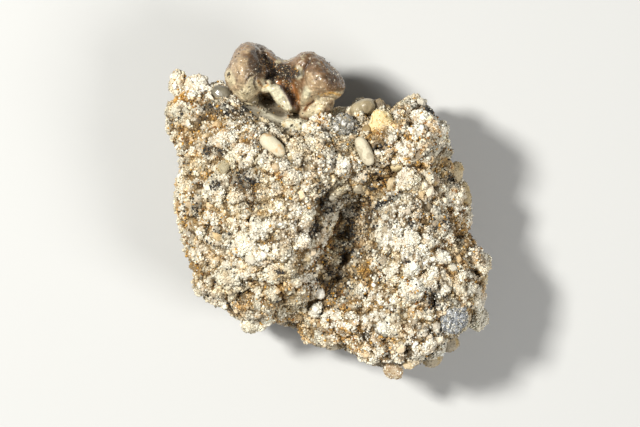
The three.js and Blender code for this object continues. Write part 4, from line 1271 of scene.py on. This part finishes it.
packed = np.clip(1.6 * spot_strength(tooth, SEDIMENT, 0.5, 70) - 0.5, 0, 1)
spot, pick = places_on(tooth, tooth_quads, SEDIMENT_GRAINS, packed * front + 0.002 * front)
radius = 0.04 + 0.08 * RNG.random(len(spot)) ** 2
centres = spot + normals_tooth[tooth_quads[pick, 0]] * (0.15 * radius)[:, None]
sizes = radius[:, None] * (0.7 + 0.6 * RNG.random((len(centres), 3)))
places, faces, each = many_gems(1, centres, sizes)
in_groove = (centres[:, 1] < 14.4)[:, None]
chance = np.cumsum(np.where(in_groove, GROOVE_SHARES, HOLLOW_SHARES), 1)
pick = (RNG.random((len(centres), 1)) > chance).sum(1).clip(0, 4)
tints = np.repeat(SEDIMENT_TINTS[pick], each, 0)
add_piece("sediment", places, faces, tints, grain_finish, "tooth")

# Pale specks on the lobes: partly mineral specks, partly painted glints.
weight = front * np.clip(0.3 + layered_noise(tooth, 1.2, 3, 74), 0.02, 1) * (tooth[:, 2] > 12.2)
spot, _ = places_on(tooth, tooth_quads, FLECKS_AND_GLINTS, weight)
radius = 0.02 + 0.045 * RNG.random(len(spot)) ** 2
sizes = radius[:, None] * (0.7 + 0.8 * RNG.random((len(spot), 3)))
places, faces, each = many_gems(1, spot, sizes)
tints = np.repeat(linear("ddd0b4") * (0.4 + 0.6 * RNG.random((len(spot), 1))), each, 0)
add_piece("enamel_flecks_and_glints", places, faces, tints, grain_finish, "tooth", smooth=False)

# %% [markdown]
# The named clasts are rounded stones. Some are smooth and dull like river pebbles, and some
# are glassy bits of quartz, which take a clear coat. Specks of other minerals show in all.

# %% Clasts
SPECKS = dict(  # tint, size and greatest share
    oval_pebble=("b98a48", 0.6, 0.6), smooth_grey_pebble=("5d574a", 0.5, 0.8),
    long_pale_pebble=("8a7c60", 0.35, 0.5), yellow_clast=("c98f3c", 0.5, 0.5),
    speckled_dark_clast=("e4e2dc", 0.3, 0.8), glassy_top_clast=("7d6c50", 0.6, 0.5),
    blue_grey_clast=("3c3f44", 0.4, 0.8), tip_pebble=("8a6a48", 0.6, 0.5),
)
SMOOTHEST = 0.12
ROUGHNESS = dict(
    speckled_dark_clast=0.42, blue_grey_clast=0.42, yellow_clast=0.25, tip_pebble=0.3,
    glassy_top_clast=0.22,
)
CLAST_CELLS, GLASSY_BELOW = 28, 0.4
clast_skins = {}


def add_clast(node, x, y, size, turn, sink, height, tint, rough):
    """One clast: its noisy stone skin, tinted and specked."""
    centre = clast_centre(x, y, size, sink, height)
    places, faces = stone_places(
        centre, size, turn_about_z(turn), CLAST_CELLS, ROUGHNESS.get(node, SMOOTHEST))
    speck, speck_size, most = SPECKS[node]
    share = np.clip(3 * layered_noise(places, speck_size, 3, 80) - 0.25, 0, most)
    colour = paint(np.tile(linear(tint), (len(places), 1)), linear(speck), share)
    coat = 0.2 * (rough < GLASSY_BELOW)
    finish = new_finish(
        node + "_stone", (rough, rough + 0.15), 0.3, 0.12, 0.14, Coat_Weight=coat)
    add_piece(node + "_skin", places, faces, colour, finish, node)
    clast_skins[node] = places, faces


for clast in CLASTS:
    add_clast(*clast)

# %% [markdown]
# Four of the clasts are not pebbles but clots of mineral grains: two speckled grey ones, a
# crusty yellow one and a brown one. Their own fine grains cover them, as on the rock.

# %% Grains of the clots
CLOTS = dict(  # how many grains, and their tints
    speckled_dark_clast=(1300, ("8b8983", "76746e", "9d9a91", "c4c1b7", "55524c", "a08d68")),
    blue_grey_clast=(1700, ("97968f", "c4c2b9", "e2e0d8", "76756f", "3e3d3a", "b9b09a")),
    yellow_clast=(700, ("e6d8ac", "f0e8cc", "d8c087", "efe3c0", "c99a4e", "dccb9c")),
    tip_pebble=(500, ("d6cbb0", "b79c74", "efe9d8", "a08258", "cdbf9f", "8b6a40")),
)
for node, (count, clot_tints) in CLOTS.items():
    places, faces = clast_skins[node]
    spot, pick = places_on(places, faces, count, np.ones(len(places)))
    radius = 0.06 + 0.09 * RNG.random(count) ** 1.6
    centres = spot - 0.2 * radius[:, None] * point_normals(places, faces)[faces[pick, 0]]
    sizes = radius[:, None] * (0.6 + 0.7 * RNG.random((count, 3)))
    places, faces, each = many_gems(1, centres, sizes)
    choice = RNG.integers(0, len(clot_tints), count)
    tints = np.repeat(np.array([linear(tint) for tint in clot_tints])[choice], each, 0)
    add_piece(node + "_grains", places, faces, tints, grain_finish, node, smooth=False)

# %% [markdown]
# The table is plain and pale. The main lamp is at the upper left, because in the photograph
# the left flank is bright and the valley lies in shade. It is small enough for the grains to
# cast shadows. A wider, weaker one opposite and a faint sky keep the shade from going black.

# %% Table, light and camera
TABLE_HALF = 1.2
LAMPS = [  # name, place, size, power, colour
    ("main_lamp", (-0.185, 0.07, 0.31), 0.055, 1.93, (1.0, 0.99, 0.95)),
    ("fill_lamp", (0.22, -0.12, 0.26), 0.14, 0.8, (1.0, 0.99, 0.97)),
]
SKY_COLOUR, SKY_STRENGTH = (0.96, 0.98, 1.0, 1), 0.16


def add_table():
    """A wide pale sheet under the specimen."""
    mesh = bpy.data.meshes.new("table")
    corners = [(x * TABLE_HALF, y * TABLE_HALF, 0) for x, y in ((-1, -1), (1, -1), (1, 1), (-1, 1))]
    mesh.from_pydata(corners, [], [(0, 1, 2, 3)])
    table = bpy.data.objects.new("table", mesh)
    finish = bpy.data.materials.new("pale_table")
    finish.use_nodes = True
    shader = finish.node_tree.nodes["Principled BSDF"]
    shader.inputs["Base Color"].default_value = (0.5, 0.5, 0.49, 1)
    shader.inputs["Roughness"].default_value = 0.8
    mesh.materials.append(finish)
    bpy.context.scene.collection.objects.link(table)


def add_lamp(name, place, size, power, colour):
    """A square soft lamp that looks at the specimen."""
    light = bpy.data.lights.new(name, "AREA")
    light.size, light.energy, light.color = size, power, colour
    lamp = bpy.data.objects.new(name, light)
    lamp.location = place
    aim = Vector((0, 0, 0.01)) - Vector(place)
    lamp.rotation_euler = aim.to_track_quat("-Z", "Y").to_euler()
    bpy.context.scene.collection.objects.link(lamp)


PHOTO_WIDE, PHOTO_HIGH = 640, 427
MM_PER_PIXEL = 0.11
OUTLINE_CENTRE_PIXEL = (329, 212)
LENS, SENSOR = 400.0, 36.0


def add_camera():
    """A long lens straight above, so far up that one pixel covers its share of a millimetre
    at the level of the outline."""
    x = (PHOTO_WIDE / 2 - OUTLINE_CENTRE_PIXEL[0]) * MM_PER_PIXEL
    y = (OUTLINE_CENTRE_PIXEL[1] - PHOTO_HIGH / 2) * MM_PER_PIXEL
    distance = PHOTO_WIDE * MM_PER_PIXEL * LENS / SENSOR
    data = bpy.data.cameras.new("camera")
    data.lens, data.sensor_width, data.clip_start = LENS, SENSOR, 0.01
    camera = bpy.data.objects.new("camera", data)
    camera.location = to_frame(np.array([x, y, BLOCK["level"] + distance]))
    bpy.context.scene.collection.objects.link(camera)
    bpy.context.scene.camera = camera
    print("camera is", round(distance), "mm above the outline")


add_table()
for lamp in LAMPS:
    add_lamp(*lamp)
add_camera()
world = bpy.data.worlds.new("studio")
world.use_nodes = True
sky = world.node_tree.nodes["Background"]
sky.inputs["Color"].default_value = SKY_COLOUR
sky.inputs["Strength"].default_value = SKY_STRENGTH
bpy.context.scene.world = world
bpy.context.scene.view_settings.view_transform = "Standard"
